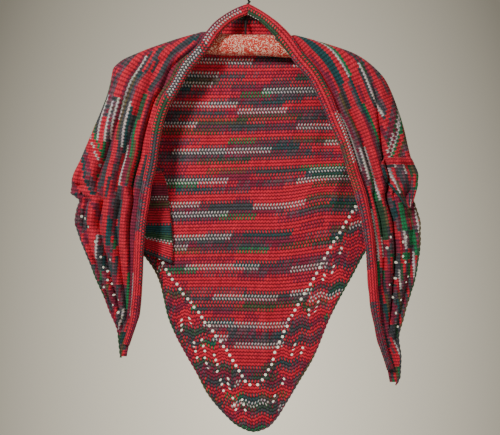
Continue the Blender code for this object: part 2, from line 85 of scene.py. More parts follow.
# Outer edge of each front: from the neck over the arm, down the side fold and down the lace hem
LEFT_OUTLINE = columns("down side", (
    (92, 66), (106, 115), (128, 176), (141, 203), (154, 215), (170, 218), (191, 223), (216, 232),
    (245, 244), (269, 254), (300, 267), (320, 276.5), (331, 280), (342, 280.5), (350, 277), (356, 270),
    (363, 263.5), (376, 266.5), (397, 270.5), (423, 262), (445, 253), (472, 243), (509, 227),
    (533, 218), (567, 204), (593, 201), (612, 199),
))
RIGHT_OUTLINE = columns("down side", (
    (99, 74), (108, 108), (130, 172), (148, 198), (170, 218), (205, 234), (245, 247), (296, 259),
    (325, 270), (343, 266), (356, 257), (372, 261), (397, 269), (428, 269), (464, 265), (508, 255),
    (544, 244), (580, 236), (612, 239), (640, 238), (656, 231),
))
FOLD_ROWS = {-1: 13, 1: 9}  # rows of each outline that lie on its fold, where it still widens
# Inner edge of each front, from the neck to the tip
LEFT_FRONT = columns("down side", (
    (85, 29), (106, 50), (128, 63), (156, 91), (186, 107), (204, 120), (236, 130), (261, 136),
    (294, 140), (328, 148), (375, 156), (424, 161), (490, 164), (540, 168), (567, 177), (593, 186),
    (612, 190),
))
RIGHT_FRONT = columns("down side", (
    (80, 16), (96, 29), (112, 48), (136, 67), (164, 93), (192, 109), (231, 125), (258, 138),
    (301, 153), (336, 163), (378, 174), (410, 180), (449, 185), (487, 186), (540, 194), (586, 202),
    (612, 214), (640, 220), (656, 223),
))
# Top edge of the back between the arms, behind the rolled edge
NECK_TOP = columns("x down", (
    (-66, 97), (-45, 79), (-22, 68), (0, 62), (16, 70), (45, 86), (74, 104),
))
# Lace hem of the back, from the left side round the point to the right side
BACK_HEM = columns("x down", (
    (-281, 347), (-240, 376), (-200, 412), (-164, 452), (-150, 472), (-141, 492), (-135, 516),
    (-129, 543), (-119, 569), (-101, 604), (-82, 637), (-66, 668), (-42, 698), (-14, 723), (9, 731),
    (30, 725), (46, 709), (58, 690), (82, 650), (104, 613), (131, 548), (150, 511), (168, 479),
    (184, 449), (210, 412), (240, 372), (266, 343),
))
# The two lines of eyelets, from the left side down to the point and up to the right side
EYELET_LINE = columns("x down", (
    (-255, 270), (-206, 346), (-165, 414), (-122, 487), (-80, 543), (-38, 599), (8, 662),
    (24, 648), (67, 554), (100, 497), (131, 443), (155, 402), (175, 370), (203, 330), (249, 262),
))
# How far the back and the fronts lie from the hanger's middle plane
BACK_OUT = columns("down out", (
    (60, 3.4), (75, 7), (92, 14.5), (106, 16.2), (135, 16.2), (200, 15), (350, 12), (500, 10),
    (735, 8),
))
FRONT_OUT = columns("down out", (
    (92, 15.5), (110, 17), (150, 18.5), (200, 20.5), (260, 23), (350, 26), (450, 26), (560, 24),
    (660, 22),
))
# Folds that run down each front. `across` goes from 0 at the inner edge to 1 at the outer one, at
# the arm, at the side and near the tip; `rise` is towards the front, and a hollow's is negative.
FOLD_PLACES = "across_arm across_side across_tip wide rise_arm rise_side rise_tip"
LEFT_FOLDS = columns(FOLD_PLACES, (
    (0.25, 0.235, 0.28, 0.026, -3, -12, -8),
    (0.32, 0.30, 0.35, 0.05, 4, 8, 5),
    (0.44, 0.42, 0.50, 0.03, -1, -6, -5),
    (0.56, 0.54, 0.60, 0.08, 4, 9, 7),
    (0.68, 0.67, 0.72, 0.035, -2, -8, -5),
    (0.80, 0.78, 0.84, 0.06, 2, 8, 5),
    (0.90, 0.90, 0.94, 0.03, 0, -6, -4),
))
RIGHT_FOLDS = columns(FOLD_PLACES, (
    (0.27, 0.24, 0.28, 0.05, 2, 6, 3),
    (0.36, 0.33, 0.38, 0.03, -1, -7, -5),
    (0.50, 0.43, 0.46, 0.07, 4, 8, 7),
    (0.90, 0.545, 0.62, 0.030, -5, -14, -7),
    (0.95, 0.61, 0.68, 0.05, 3, 8, 5),
    (0.98, 0.74, 0.80, 0.07, 2, 7, 4),
    (0.99, 0.88, 0.90, 0.04, 0, -5, -3),
))
# Soft folds of the back: where each starts, how far it reaches down, its slant, width and rise
BACK_FOLDS = columns("x first last slant wide rise", (
    (27, 500, 720, 0.02, 7, -2.2), (46, 480, 700, 0.05, 14, 2.0), (-30, 420, 640, -0.08, 16, 1.6),
    (-205, 190, 400, 0.12, 13, 5.0), (-180, 200, 430, 0.22, 9, -4.0), (-148, 170, 420, 0.16, 14, 3.5),
    (198, 185, 390, -0.10, 12, 5.0), (176, 200, 420, -0.22, 9, -4.0), (140, 160, 400, -0.12, 15, 3.5),
    (-70, 130, 330, 0.10, 16, 2.2), (62, 140, 360, 0.06, 13, -2.0), (8, 120, 300, -0.05, 18, 1.8),
))
# Short creases across the lace at a front's outer edge
HEM_CREASES = columns("side down from rise wide", (
    (-1, 316, 0.78, 2.5, 9), (-1, 340, 0.66, -7, 5), (-1, 352, 0.74, 5, 5), (-1, 366, 0.80, -5, 4),
    (-1, 408, 0.62, -3, 7), (-1, 450, 0.66, 3, 9), (1, 388, 0.62, -4, 6), (1, 404, 0.66, 4, 8),
    (1, 436, 0.60, -3, 6), (1, 470, 0.62, 3, 9), (1, 506, 0.64, -3, 6),
))
UNDER_ROLL = 27  # the cloth is flat this far from its inner edge, where the roll lies on it
ARM_AT, SIDE_AT, TIP_AT = 130, 340, 600  # `down` of the fold tables' three places
RUFFLE = 2.5  # how far the lace hem's waves stand out, and the length over which one radian passes
RUFFLE_RUN = 9.5
# The rolled edge: its middle, its width and its thickness
ROLL_PLACES = "side down wide thick"
LEFT_ROLL = columns(ROLL_PLACES, (
    (0, 58, 17, 11), (20, 67, 18, 11), (39, 81, 18, 11), (56, 100, 19, 11), (71, 123, 20, 11),
    (96, 152, 20, 11), (114, 183, 19, 11), (131, 212, 18, 11), (143, 250, 18, 11), (150, 300, 18, 11),
    (160, 350, 17, 11), (169, 420, 16, 11), (172, 480, 15, 10), (178, 545, 14, 9), (191, 590, 11, 8),
))
RIGHT_ROLL = columns(ROLL_PLACES, (
    (0, 58, 17, 11), (20, 70, 18, 11), (38, 86, 19, 11), (58, 108, 21, 11), (80, 138, 22, 11),
    (103, 166, 22, 11), (121, 200, 21, 11), (136, 236, 20, 11), (151, 272, 19, 11), (165, 318, 19, 11),
    (177, 356, 18, 11), (188, 410, 17, 11), (194, 470, 16, 11), (199, 530, 15, 10), (210, 585, 13, 9),
    (224, 630, 11, 8),
))
NECK_ROLL_OUT = 8.6  # how far in front of the hanger's middle plane the roll's middle is at the neck
ROLL_OFF = 1.5  # between a front and the roll on it
ROLL_SPLIT = 96  # `down` of the seam between the neck's roll and each front's
OVER_SEAM = 3  # steps by which the neck's roll goes on inside the fronts'
ROLL_ROWS = 9  # rows of knitting round the roll's section
ROLL_TURN = (52, 374)  # degrees round the roll's section, open towards the wing
# The pleat of the back that laps over it beside the left front: its free edge and its lap
BACK_FOLD = columns("down inner lap", (
    (304, -152, 3), (318, -139, 7), (334, -132, 12), (362, -128, 16), (405, -123, 18), (440, -121, 18),
    (466, -122, 15),
))
BACK_FOLD_OUTER = -168  # the pleat's other side, which the front hides
BACK_FOLD_SLANT = 18  # how far its lowest rows rise from its free edge to its other side
BACK_FOLD_R = 4  # radius of the turn at its free edge
# The stretch of lace that folds over the right front
FLAP = columns("down inner outer", (
    (297, 214, 256), (306, 208, 262), (322, 212, 268), (338, 221, 266), (354, 232, 262), (368, 243, 257),
    (375, 249, 255),
))
FLAP_OFF = 7  # between the front and the flap, before the flap's own curl and lumps
FLAP_ENDS = (297, 375)
FLAP_WIDE = 48  # width of the flap's chart
# Lace eyelets in the back's border: a column of them grows down from each place
LACE_COLUMNS = columns("x down count lean", (
    (-142, 497, 3, 0), (-107, 556, 3, 0), (-94, 552, 2, 1), (-88, 590, 4, 1), (-75, 588, 3, 1),
    (-69, 616, 3, 1), (-55, 612, 4, 1), (-45, 651, 3, 1), (-33, 649, 3, 1), (-24, 682, 3, 1),
    (-10, 683, 3, 1), (99, 538, 2, -1), (112, 525, 3, -1), (76, 594, 3, -1), (88, 600, 2, -1),
    (42, 678, 2, -1), (58, 650, 2, -1), (122, 482, 2, -1), (138, 470, 2, -1), (150, 440, 2, -1),
))
EYELET_STEP = 9.6  # from one eyelet of the two lines to the next
LACE_STEP = 8.2  # from one eyelet of a column down to the next
LACE_LEAN = 2.2  # how far each steps sideways in a column that leans
# Lace eyelets in each front's border, as their distance from the middle and `down`
LEFT_EYELETS = (
    (262, 352), (256, 392), (262, 388), (239, 428), (252, 405), (216, 456), (231, 452), (228, 468),
    (222, 474), (220, 488), (214, 494), (226, 500), (212, 512), (203, 520), (213, 528), (205, 540),
    (209, 556),
)
RIGHT_EYELETS = (
    (224, 420), (249, 421), (244, 428), (218, 437), (233, 461), (247, 460), (243, 451), (232, 486),
    (238, 494), (222, 496), (251, 483), (248, 492), (228, 516), (241, 520), (232, 540), (236, 562),
)
# The yarn's colours along its length, each with how many stitches it makes
YARN = (
    ("wine", 18), ("heather", 16), ("white", 22), ("slate", 18), ("wine", 12), ("red", 14), ("teal", 14),
    ("heather", 16), ("red", 20), ("forest", 18), ("heather", 14), ("wine", 14), ("white", 25),
    ("slate", 16), ("red", 14), ("olive", 16), ("slate", 14), ("green", 12), ("red", 12), ("heather", 18),
    ("white", 20), ("slate", 18), ("wine", 14), ("red", 12),
)
# Streaks that show most on each front: how far out from its inner edge, from what `down` of that
# edge to what other, how many rows and in which colour
LEFT_STREAKS = (
    (16, 480, 550, 1, "white"), (24, 470, 540, 1, "green"), (20, 476, 545, 1, "wine"),
    (24, 110, 200, 1, "wine"), (24, 200, 330, 2, "red"), (32, 150, 290, 1, "wine"),
    (36, 120, 210, 2, "slate"), (36, 215, 330, 1, "red"), (40, 215, 245, 2, "forest"),
    (44, 245, 305, 1, "green"), (50, 285, 362, 1, "white"), (44, 110, 215, 2, "red"),
    (48, 190, 240, 2, "red"), (54, 176, 235, 1, "red"), (54, 235, 300, 1, "teal"),
    (60, 226, 292, 1, "white"), (64, 200, 300, 1, "slate"), (70, 176, 250, 1, "white"),
    (70, 250, 330, 1, "red"), (74, 150, 300, 1, "wine"), (78, 150, 228, 3, "red"),
    (78, 228, 280, 1, "white"), (82, 228, 290, 1, "heather"), (86, 232, 286, 1, "white"),
    (90, 160, 250, 2, "heather"), (90, 250, 330, 2, "red"), (98, 226, 297, 1, "white"),
    (102, 226, 300, 1, "slate"), (20, 350, 480, 2, "wine"), (28, 350, 500, 4, "red"),
    (48, 350, 400, 2, "slate"), (56, 398, 440, 2, "teal"), (64, 372, 425, 8, "red"),
    (68, 438, 478, 2, "slate"), (78, 430, 468, 3, "red"),
)
RIGHT_STREAKS = (
    (20, 106, 236, 1, "red"), (28, 106, 175, 2, "red"), (48, 110, 200, 2, "red"),
    (60, 110, 200, 4, "red"), (20, 236, 325, 1, "white"), (24, 150, 275, 1, "wine"),
    (26, 290, 340, 1, "white"), (28, 200, 285, 1, "heather"), (34, 290, 372, 1, "white"),
    (36, 110, 200, 3, "teal"), (36, 200, 235, 2, "slate"), (48, 120, 170, 2, "red"),
    (54, 130, 192, 1, "white"), (58, 130, 195, 1, "green"), (76, 190, 250, 1, "slate"),
    (80, 186, 264, 1, "white"), (84, 200, 275, 1, "slate"), (20, 385, 460, 1, "white"),
    (28, 425, 458, 1, "white"), (24, 350, 470, 1, "red"), (12, 330, 450, 2, "red"),
    (32, 375, 430, 2, "forest"), (42, 215, 300, 2, "red"), (50, 250, 330, 1, "wine"),
    (92, 170, 262, 2, "red"), (88, 262, 300, 1, "teal"), (94, 262, 300, 1, "white"),
    (102, 262, 300, 1, "white"), (106, 262, 310, 1, "green"), (64, 385, 420, 2, "green"),
    (72, 422, 442, 3, "green"), (60, 450, 460, 3, "green"), (44, 385, 420, 2, "red"),
    (40, 425, 450, 2, "heather"),
)
# Slanting bands of the lace over each side fold: from where, and each band's colour and width
LEFT_BANDS = (250, (
    ("green", 6), ("red", 9), ("white", 4), ("red", 20), ("heather", 14), ("teal", 6), ("red", 28),
    ("wine", 14),
))
RIGHT_BANDS = (212, (
    ("red", 12), ("heather", 10), ("wine", 8), ("forest", 5), ("white", 5), ("wine", 4), ("white", 5),
    ("green", 9), ("red", 10), ("olive", 8), ("heather", 12), ("red", 18),
))
BANDS_SLANT = 1.4  # how far a band moves along the edge for each millimetre out from it
BANDS_DEEP = 44  # how far in from the outer edge the bands reach
# The rolled edge's own streaks: rows of its section, and from and to as shares of its length
ROLL_STREAKS = {
    "left_roll": (
        (0, 8, 0, 1, "red"), (7, 8, 0, 0.06, "wine"), (6, 6, 0, 0.05, "white"), (5, 5, 0.05, 0.26, "slate"),
        (7, 7, 0.05, 0.25, "slate"), (6, 6, 0.07, 0.245, "white"), (5, 6, 0.25, 0.36, "forest"),
        (5, 6, 0.36, 0.52, "slate"), (3, 3, 0, 0.50, "olive"), (6, 8, 0.50, 0.66, "heather"),
        (4, 4, 0.62, 0.82, "slate"), (4, 5, 0.84, 1, "wine"),
    ),
    "right_roll": (
        (0, 8, 0, 1, "red"), (3, 4, 0, 0.08, "forest"), (3, 4, 0.08, 0.42, "heather"),
        (3, 3, 0.30, 0.50, "olive"), (8, 8, 0.04, 0.20, "slate"), (7, 7, 0.09, 0.23, "forest"),
        (7, 7, 0.23, 0.27, "wine"), (7, 7, 0.27, 0.42, "white"), (5, 5, 0.36, 0.50, "olive"),
        (4, 5, 0.50, 0.72, "heather"), (4, 6, 0.80, 1, "heather"), (7, 7, 0.85, 1, "wine"),
    ),
    "neck_roll_knitted": (
        (0, 8, 0, 1, "red"), (7, 8, 0, 0.46, "wine"), (6, 6, 0, 0.44, "white"), (3, 3, 0, 0.45, "olive"),
        (4, 5, 0.50, 1, "forest"), (3, 3, 0.52, 0.70, "white"), (3, 3, 0.72, 1, "forest"),
    ),
}
# Levels of the back that are knitted in plain red, from and to
BACK_RED = ((76, 88), (141, 150), (206, 214), (250, 263), (298, 311), (346, 362), (394, 413),
            (444, 456), (482, 506), (540, 552), (594, 615), (660, 672), (704, 716))


def along(table, key, name, at):
    """A column of a table at values of its key column, on a smooth curve that never overshoots."""
    xs, ys = table[key], table[name]
    steps, slopes = np.diff(xs), np.diff(ys) / np.diff(xs)
    a, b = slopes[:-1], slopes[1:]
    weights = 3 * (steps[:-1] + steps[1:])
    with np.errstate(divide="ignore", invalid="ignore"):
        middle = weights / ((2 * steps[1:] + steps[:-1]) / a + (steps[1:] + 2 * steps[:-1]) / b)
    tangents = np.concatenate([slopes[:1], np.where(a * b > 0, middle, 0), slopes[-1:]])
    at = np.clip(np.asarray(at, float), xs[0], xs[-1])
    i = np.clip(np.searchsorted(xs, at, side="right") - 1, 0, len(steps) - 1)
    u = (at - xs[i]) / steps[i]
    return (
        ys[i] * (1 + 2 * u) * (1 - u) ** 2
        + tangents[i] * steps[i] * u * (1 - u) ** 2
        + ys[i + 1] * u * u * (3 - 2 * u)
        - tangents[i + 1] * steps[i] * u * u * (1 - u)
    )


def run_along(x, y):
    """How far each point of a line lies from its start, along the line."""
    return np.concatenate([[0], np.cumsum(np.hypot(np.diff(x), np.diff(y)))])


def ease(x):
    """0 below 0, 1 above 1, and a soft step between."""
    x = np.clip(x, 0, 1)
    return x * x * (3 - 2 * x)


def over_arms(x, left_rows, right_rows):
    """`down` of the fold over the arms, by the first rows of each outline."""
    return np.where(
        x < 0,
        along(columns_of(LEFT_OUTLINE, left_rows), "side", "down", -x),
        along(columns_of(RIGHT_OUTLINE, right_rows), "side", "down", x),
    )


def side_fold(outline, last):
    """Points along a front's fold, from over the arm down to where it ends."""
    down = np.linspace(outline["down"][0], last, 90)
    return along(outline, "down", "side", down), down


RIDGES = {-1: side_fold(LEFT_OUTLINE, 343), 1: side_fold(RIGHT_OUTLINE, 334)}


def fold_radius(down):
    """Radius of the cloth where it goes over the arm and down the side fold."""
    return BAR_HALF_H + CLEAR + CAD_WALL / 2 - 11 * ease((down - 150) / 150)


def rounding(side, x, down):
    """0 on the fold, 1 where the cloth has turned down."""
    fold_x, fold_down = RIDGES[side]
    gaps = np.full(np.shape(x), 1e9)
    for from_x, from_d, run_x, run_d in zip(fold_x, fold_down, np.diff(fold_x), np.diff(fold_down)):
        off_x, off_d = np.abs(x) - from_x, down - from_d
        share = np.clip((off_x * run_x + off_d * run_d) / (run_x**2 + run_d**2), 0, 1)
        gaps = np.minimum(gaps, np.hypot(off_x - share * run_x, off_d - share * run_d))
    left = 1 - np.clip(gaps / fold_radius(down), 0, 1)
    return np.sqrt(np.clip(1 - left**2, 0, 1)), gaps


def back_y(x, down):
    """How far back the middle of the back's cloth lies."""
    x, down = np.broadcast_arrays(np.asarray(x, float), np.asarray(down, float))
    out = along(BACK_OUT, "down", "out", down)
    out = out - 5 * np.exp(-(((x - 120 + (down - 330) * 0.5) / 26) ** 2)) * ease((down - 230) / 80) * (
        ease((470 - down) / 90)
    )
    for middle, first, last, slant, wide, rise in zip(*BACK_FOLDS.values()):
        fade = ease((down - first) / 60) * ease((last - down) / 60)
        out = out + rise * fade * np.exp(-(((x - middle - slant * (down - first)) / wide) ** 2))
    turn = np.where(x < 0, rounding(-1, x, down)[0], rounding(1, x, down)[0])
    at_neck = ease((78 - np.abs(x)) / 16)
    turn = turn * (1 - at_neck) + at_neck
    return SEAM + (out - SEAM) * turn


def front_tables(side):
    """A front's outline, its inner edge and its folds."""
    return (LEFT_OUTLINE, LEFT_FRONT, LEFT_FOLDS) if side < 0 else (RIGHT_OUTLINE, RIGHT_FRONT, RIGHT_FOLDS)


def front_folds(folds, across, down):
    """How far the folds of a front stand forward."""
    rise = 0
    for i in range(len(folds["wide"])):
        places = {"down": np.array([ARM_AT, SIDE_AT, TIP_AT], float)}
        places["across"] = np.array([folds["across_" + w][i] for w in ("arm", "side", "tip")])
        places["rise"] = np.array([folds["rise_" + w][i] for w in ("arm", "side", "tip")])
        middle = along(places, "down", "across", down)
        height = along(places, "down", "rise", down)
        rise = rise + height * np.exp(-(((across - middle) / folds["wide"][i]) ** 2))
    return rise


def across_front(side, x, down):
    """How far a point lies across a front, from 0 at its inner edge to 1 at its outer one."""
    outline, front, _ = front_tables(side)
    inner = along(front, "down", "side", down) + 2
    outer = np.maximum(along(outline, "down", "side", down), inner + 4)
    return (x - inner) / (outer - inner), inner


def ruffle(side, across, down):
    """The lace hem's own waves and creases, which die out towards the plain knitting."""
    waves = RUFFLE * ease((across - 0.45) / 0.5) * ease((down - 330) / 40) * np.sin(down / RUFFLE_RUN)
    for on_side, at, start, rise, wide in zip(*HEM_CREASES.values()):
        if on_side == side:
            waves = waves + rise * ease((across - start) / 0.16) * np.exp(-(((down - at) / wide) ** 2))
    return waves


def front_y(side, x, down):
    """How far forward the middle of a front's cloth lies, at a distance x from the middle."""
    across, inner = across_front(side, x, down)
    across = np.clip(across, 0, 1)
    turn, gaps = rounding(side, x, down)
    turn = turn + (1 - turn) * ease((down - 335) / 40)
    clear_of_fold = np.clip(gaps / 34, 0, 1)
    clear_of_fold = clear_of_fold + (1 - clear_of_fold) * ease((down - 330) / 40)
    fade = ease(clear_of_fold) * ease((650 - down) / 90)
    flat = along(FRONT_OUT, "down", "out", down)
    out = flat + front_folds(front_tables(side)[2], across, down) * fade + ruffle(side, across, down)
    behind_roll = ease((UNDER_ROLL - (x - inner)) / 9)
    out = out * (1 - behind_roll) + flat * behind_roll
    return -SEAM - (out - SEAM) * turn


class YarnColours(bpy.types.PropertyGroup):
    """The yarn's colours, as the eye sees them."""

    red: bpy.props.FloatVectorProperty(
        name="Red", description="The yarn's longest stretch", default=(0.54, 0.016, 0.037), subtype="COLOR"
    )
    wine: bpy.props.FloatVectorProperty(
        name="Wine", description="Dark red stretch", default=(0.21, 0.018, 0.044), subtype="COLOR"
    )
    heather: bpy.props.FloatVectorProperty(
        name="Heather", description="Grey and purple stretch", default=(0.135, 0.060, 0.078), subtype="COLOR"
    )
    slate: bpy.props.FloatVectorProperty(
        name="Slate", description="Dark grey stretch", default=(0.052, 0.054, 0.060), subtype="COLOR"
    )
    teal: bpy.props.FloatVectorProperty(
        name="Teal", description="Dark blue-green stretch", default=(0.014, 0.062, 0.066), subtype="COLOR"
    )
    forest: bpy.props.FloatVectorProperty(
        name="Forest", description="Dark green stretch", default=(0.028, 0.075, 0.036), subtype="COLOR"
    )
    green: bpy.props.FloatVectorProperty(
        name="Green", description="Bright green stretch", default=(0.014, 0.17, 0.060), subtype="COLOR"
    )
    olive: bpy.props.FloatVectorProperty(
        name="Olive", description="Brown-green stretch", default=(0.105, 0.075, 0.036), subtype="COLOR"
    )
    white: bpy.props.FloatVectorProperty(
        name="White", description="Undyed stretch", default=(0.58, 0.50, 0.48), subtype="COLOR"
    )


class KnitSizes(bpy.types.PropertyGroup):
    """The size of a stitch and of the cloth's wall."""

    stitch: bpy.props.FloatProperty(
        name="Stitch", description="Width of a stitch", default=0.0050, unit="LENGTH", precision=4
    )
    row: bpy.props.FloatProperty(
        name="Row", description="Height of a row of the fronts", default=0.0040, unit="LENGTH", precision=4
    )
    back_row: bpy.props.FloatProperty(
        name="Back row", description="Height of a row of the back, which hangs from it", default=0.0054,
        unit="LENGTH", precision=4,
    )
    wall: bpy.props.FloatProperty(
        name="Wall", description="Thickness of the cloth between its ridges", default=0.0018,
        unit="LENGTH", precision=4,
    )
    relief: bpy.props.FloatProperty(
        name="Relief", description="How far a row's ridge stands up", default=0.00042,
        unit="LENGTH", precision=5,
    )
    eyelet: bpy.props.FloatProperty(
        name="Eyelet", description="Width of an eyelet of the two lines", default=0.0051,
        unit="LENGTH", precision=4,
    )
    lace_eyelet: bpy.props.FloatProperty(
        name="Lace eyelet", description="Width of an eyelet of the lace", default=0.0043,
        unit="LENGTH", precision=4,
    )
    fuzz: bpy.props.FloatProperty(
        name="Fuzz", description="Soft sheen of the yarn's loose fibres", default=0.12, subtype="FACTOR"
    )


class HangerFinish(bpy.types.PropertyGroup):
    """Colours of the hanger."""

    cover: bpy.props.FloatVectorProperty(
        name="Cover", description="Light threads of the cover", default=(0.98, 0.72, 0.52), subtype="COLOR"
    )
    speckle: bpy.props.FloatVectorProperty(
        name="Speckle", description="Red threads of the cover", default=(0.62, 0.035, 0.022), subtype="COLOR"
    )
    wire: bpy.props.FloatVectorProperty(
        name="Wire", description="Dark wire of the hook", default=(0.012, 0.011, 0.011), subtype="COLOR"
    )


class StudioSizes(bpy.types.PropertyGroup):
    """The floor, the light and the camera."""

    background: bpy.props.FloatVectorProperty(
        name="Background", description="Colour of the room's plain wall", default=(0.50, 0.458, 0.362),
        subtype="COLOR",
    )
    pool: bpy.props.FloatProperty(
        name="Light pool", description="The wall's brightness below the middle of the view", default=2.5
    )
    corners: bpy.props.FloatProperty(
        name="Corners", description="The wall's brightness away from there", default=0.46
    )
    floor: bpy.props.FloatVectorProperty(
        name="Floor", description="Colour of the floor", default=(0.55, 0.53, 0.49), subtype="COLOR"
    )
    floor_depth: bpy.props.FloatProperty(
        name="Floor", description="How far below the hook the floor is", default=1.5, unit="LENGTH"
    )
    distance: bpy.props.FloatProperty(
        name="Camera distance", description="From the camera to the shawl", default=1.6, unit="LENGTH"
    )
    view_width: bpy.props.FloatProperty(
        name="View width", description="Width that the camera sees at the shawl", default=0.8,
        unit="LENGTH",
    )
    view_x: bpy.props.FloatProperty(
        name="View across", description="Where the camera looks, across", default=0.0032, unit="LENGTH",
        precision=4,
    )
    view_z: bpy.props.FloatProperty(
        name="View height", description="Where the camera looks, upwards", default=-0.390, unit="LENGTH"
    )


def sizes():
    """The stitch and wall sizes in millimetres, by name."""
    group = bpy.context.scene.shawl_knit
    names = ("stitch", "row", "back_row", "wall", "relief", "eyelet", "lace_eyelet")
    return {name: getattr(group, name) / MM for name in names}


def yarn_colour(name):
    return np.array(getattr(bpy.context.scene.shawl_yarn, name))


# Laying the yarn


def lay_yarn(rows, stitches, seed, plain=(), start=0, shorter=1.0):
    """The colour of each stitch: the yarn is laid row by row, back and forth, with plain red rows between."""
    rng = np.random.default_rng(seed)
    chart = np.empty((rows, stitches), object)
    i, left = start % len(YARN), YARN[start % len(YARN)][1]
    for row in range(rows):
        if row in plain:
            chart[row] = "red"
            at = rng.integers(0, stitches)
            chart[row, at : at + rng.integers(4, 12)] = "wine"
            continue
        line = []
        while len(line) < stitches:
            take = min(left, stitches - len(line))
            line += [YARN[i][0]] * take
            left -= take
            if left <= 0:
                i = (i + 1) % len(YARN)
                left = max(3, int(round(YARN[i][1] * shorter * rng.uniform(0.75, 1.3))))
        chart[row] = line if row % 2 else line[::-1]
        part_white(chart, row)
    return chart


def part_white(chart, row):
    """Changes the white of a row that lies over white of the two rows before it."""
    below = chart[max(row - 2, 0) : row] == "white"
    clash = (chart[row] == "white") & below.any(axis=0)
    starts = np.flatnonzero(np.diff(np.concatenate([[0], (chart[row] == "white").astype(int), [0]])))
    for first, last in zip(starts[::2], starts[1::2]):
        if clash[first:last].any():
            chart[row, first:last] = "heather" if row % 2 else "wine"


def dye(chart, seed):
    """A colour for each stitch of a chart, a little different from stitch to stitch."""
    rng = np.random.default_rng(seed)
    out = np.empty(chart.shape + (3,))
    for name in sorted(set(chart.ravel())):
        out[chart == name] = yarn_colour(name)
    blotch = rng.normal(1.0, 0.10, chart.shape)[..., None]
    twist = rng.normal(1.0, 0.05, chart.shape + (3,))
    marl = (chart == "heather") & (rng.random(chart.shape) < 0.35)
    out[marl] = yarn_colour("slate") * 1.1
    rosy = (chart == "heather") & (rng.random(chart.shape) < 0.22)
    out[rosy] = yarn_colour("wine")
    return np.clip(out * np.clip(blotch, 0.7, 1.35) * twist, 0.004, 0.95)


# Making a stretch of knitting


def add_object(name, data):
    obj = bpy.data.objects.new(name, data)
    bpy.context.collection.objects.link(obj)
    return obj


def grid_through(points):
    """A bmesh grid through points in millimetres, which are in rows."""
    rows, count = points.shape[:2]
    bm = bmesh.new()
    bmesh.ops.create_grid(bm, x_segments=count - 1, y_segments=rows - 1, size=1)
    for vert, xyz in zip(bm.verts, points.reshape(-1, 3) * MM):
        vert.co = xyz
    return bm


def mesh_of(bm, name):
    """A mesh from a bmesh, which is freed."""
    mesh = bpy.data.meshes.new(name)
    bm.to_mesh(mesh)
    bm.free()
    return mesh


def store_colour(mesh, layer, rgb):
    """Stores a colour for each face."""
    rgba = np.concatenate([rgb, np.ones((len(rgb), 1))], 1).astype(np.float32)
    mesh.attributes.new(layer, "FLOAT_COLOR", "FACE").data.foreach_set("color", rgba.ravel())


EYELET_TAKES = 0.6  # share of a stitch and of a row, each way, whose corners form an eyelet's rim
ZIGZAG = 0.22  # how far a row's line zigzags through its stitches, as a share of a row
RIDGE_SHARE, WALE_SHARE = 0.8, 0.35  # how much of the relief runs along the rows and up the stitches


def smooth_normals(points):
    """Unit normals of a grid of points, with none where the grid has no size."""
    along_rows = np.gradient(points, axis=1)
    along_columns = np.gradient(points, axis=0)
    normals = np.cross(along_rows, along_columns)
    length = np.linalg.norm(normals, axis=-1, keepdims=True)
    return np.where(length > 1e-9, normals / np.maximum(length, 1e-9), 0)


def open_eyelets(s, t, holes, stitch, row):
    """Draws the corners round each eyelet out to its rim. Returns the cells it takes and those corners."""
    gone = np.zeros((s.shape[0] - 1, s.shape[1] - 1), bool)
    rim = np.zeros(s.shape, bool)
    for hole_s, hole_t, width in holes:
        middle = np.unravel_index(np.argmin(np.hypot(s - hole_s, t - hole_t)), s.shape)
        ds, dt = s - s[middle], t - t[middle]
        inside = (np.abs(ds) < EYELET_TAKES * stitch) & (np.abs(dt) < EYELET_TAKES * row)
        gone |= inside[:-1, :-1] & inside[1:, :-1] & inside[:-1, 1:] & inside[1:, 1:]
        rim |= inside
        gap = np.maximum(np.hypot(ds, dt), 1e-6)
        s += np.where(inside, ds * (width / 2 / gap - 1), 0)
        t += np.where(inside, dt * (width / 2 / gap - 1), 0)
    return gone, rim


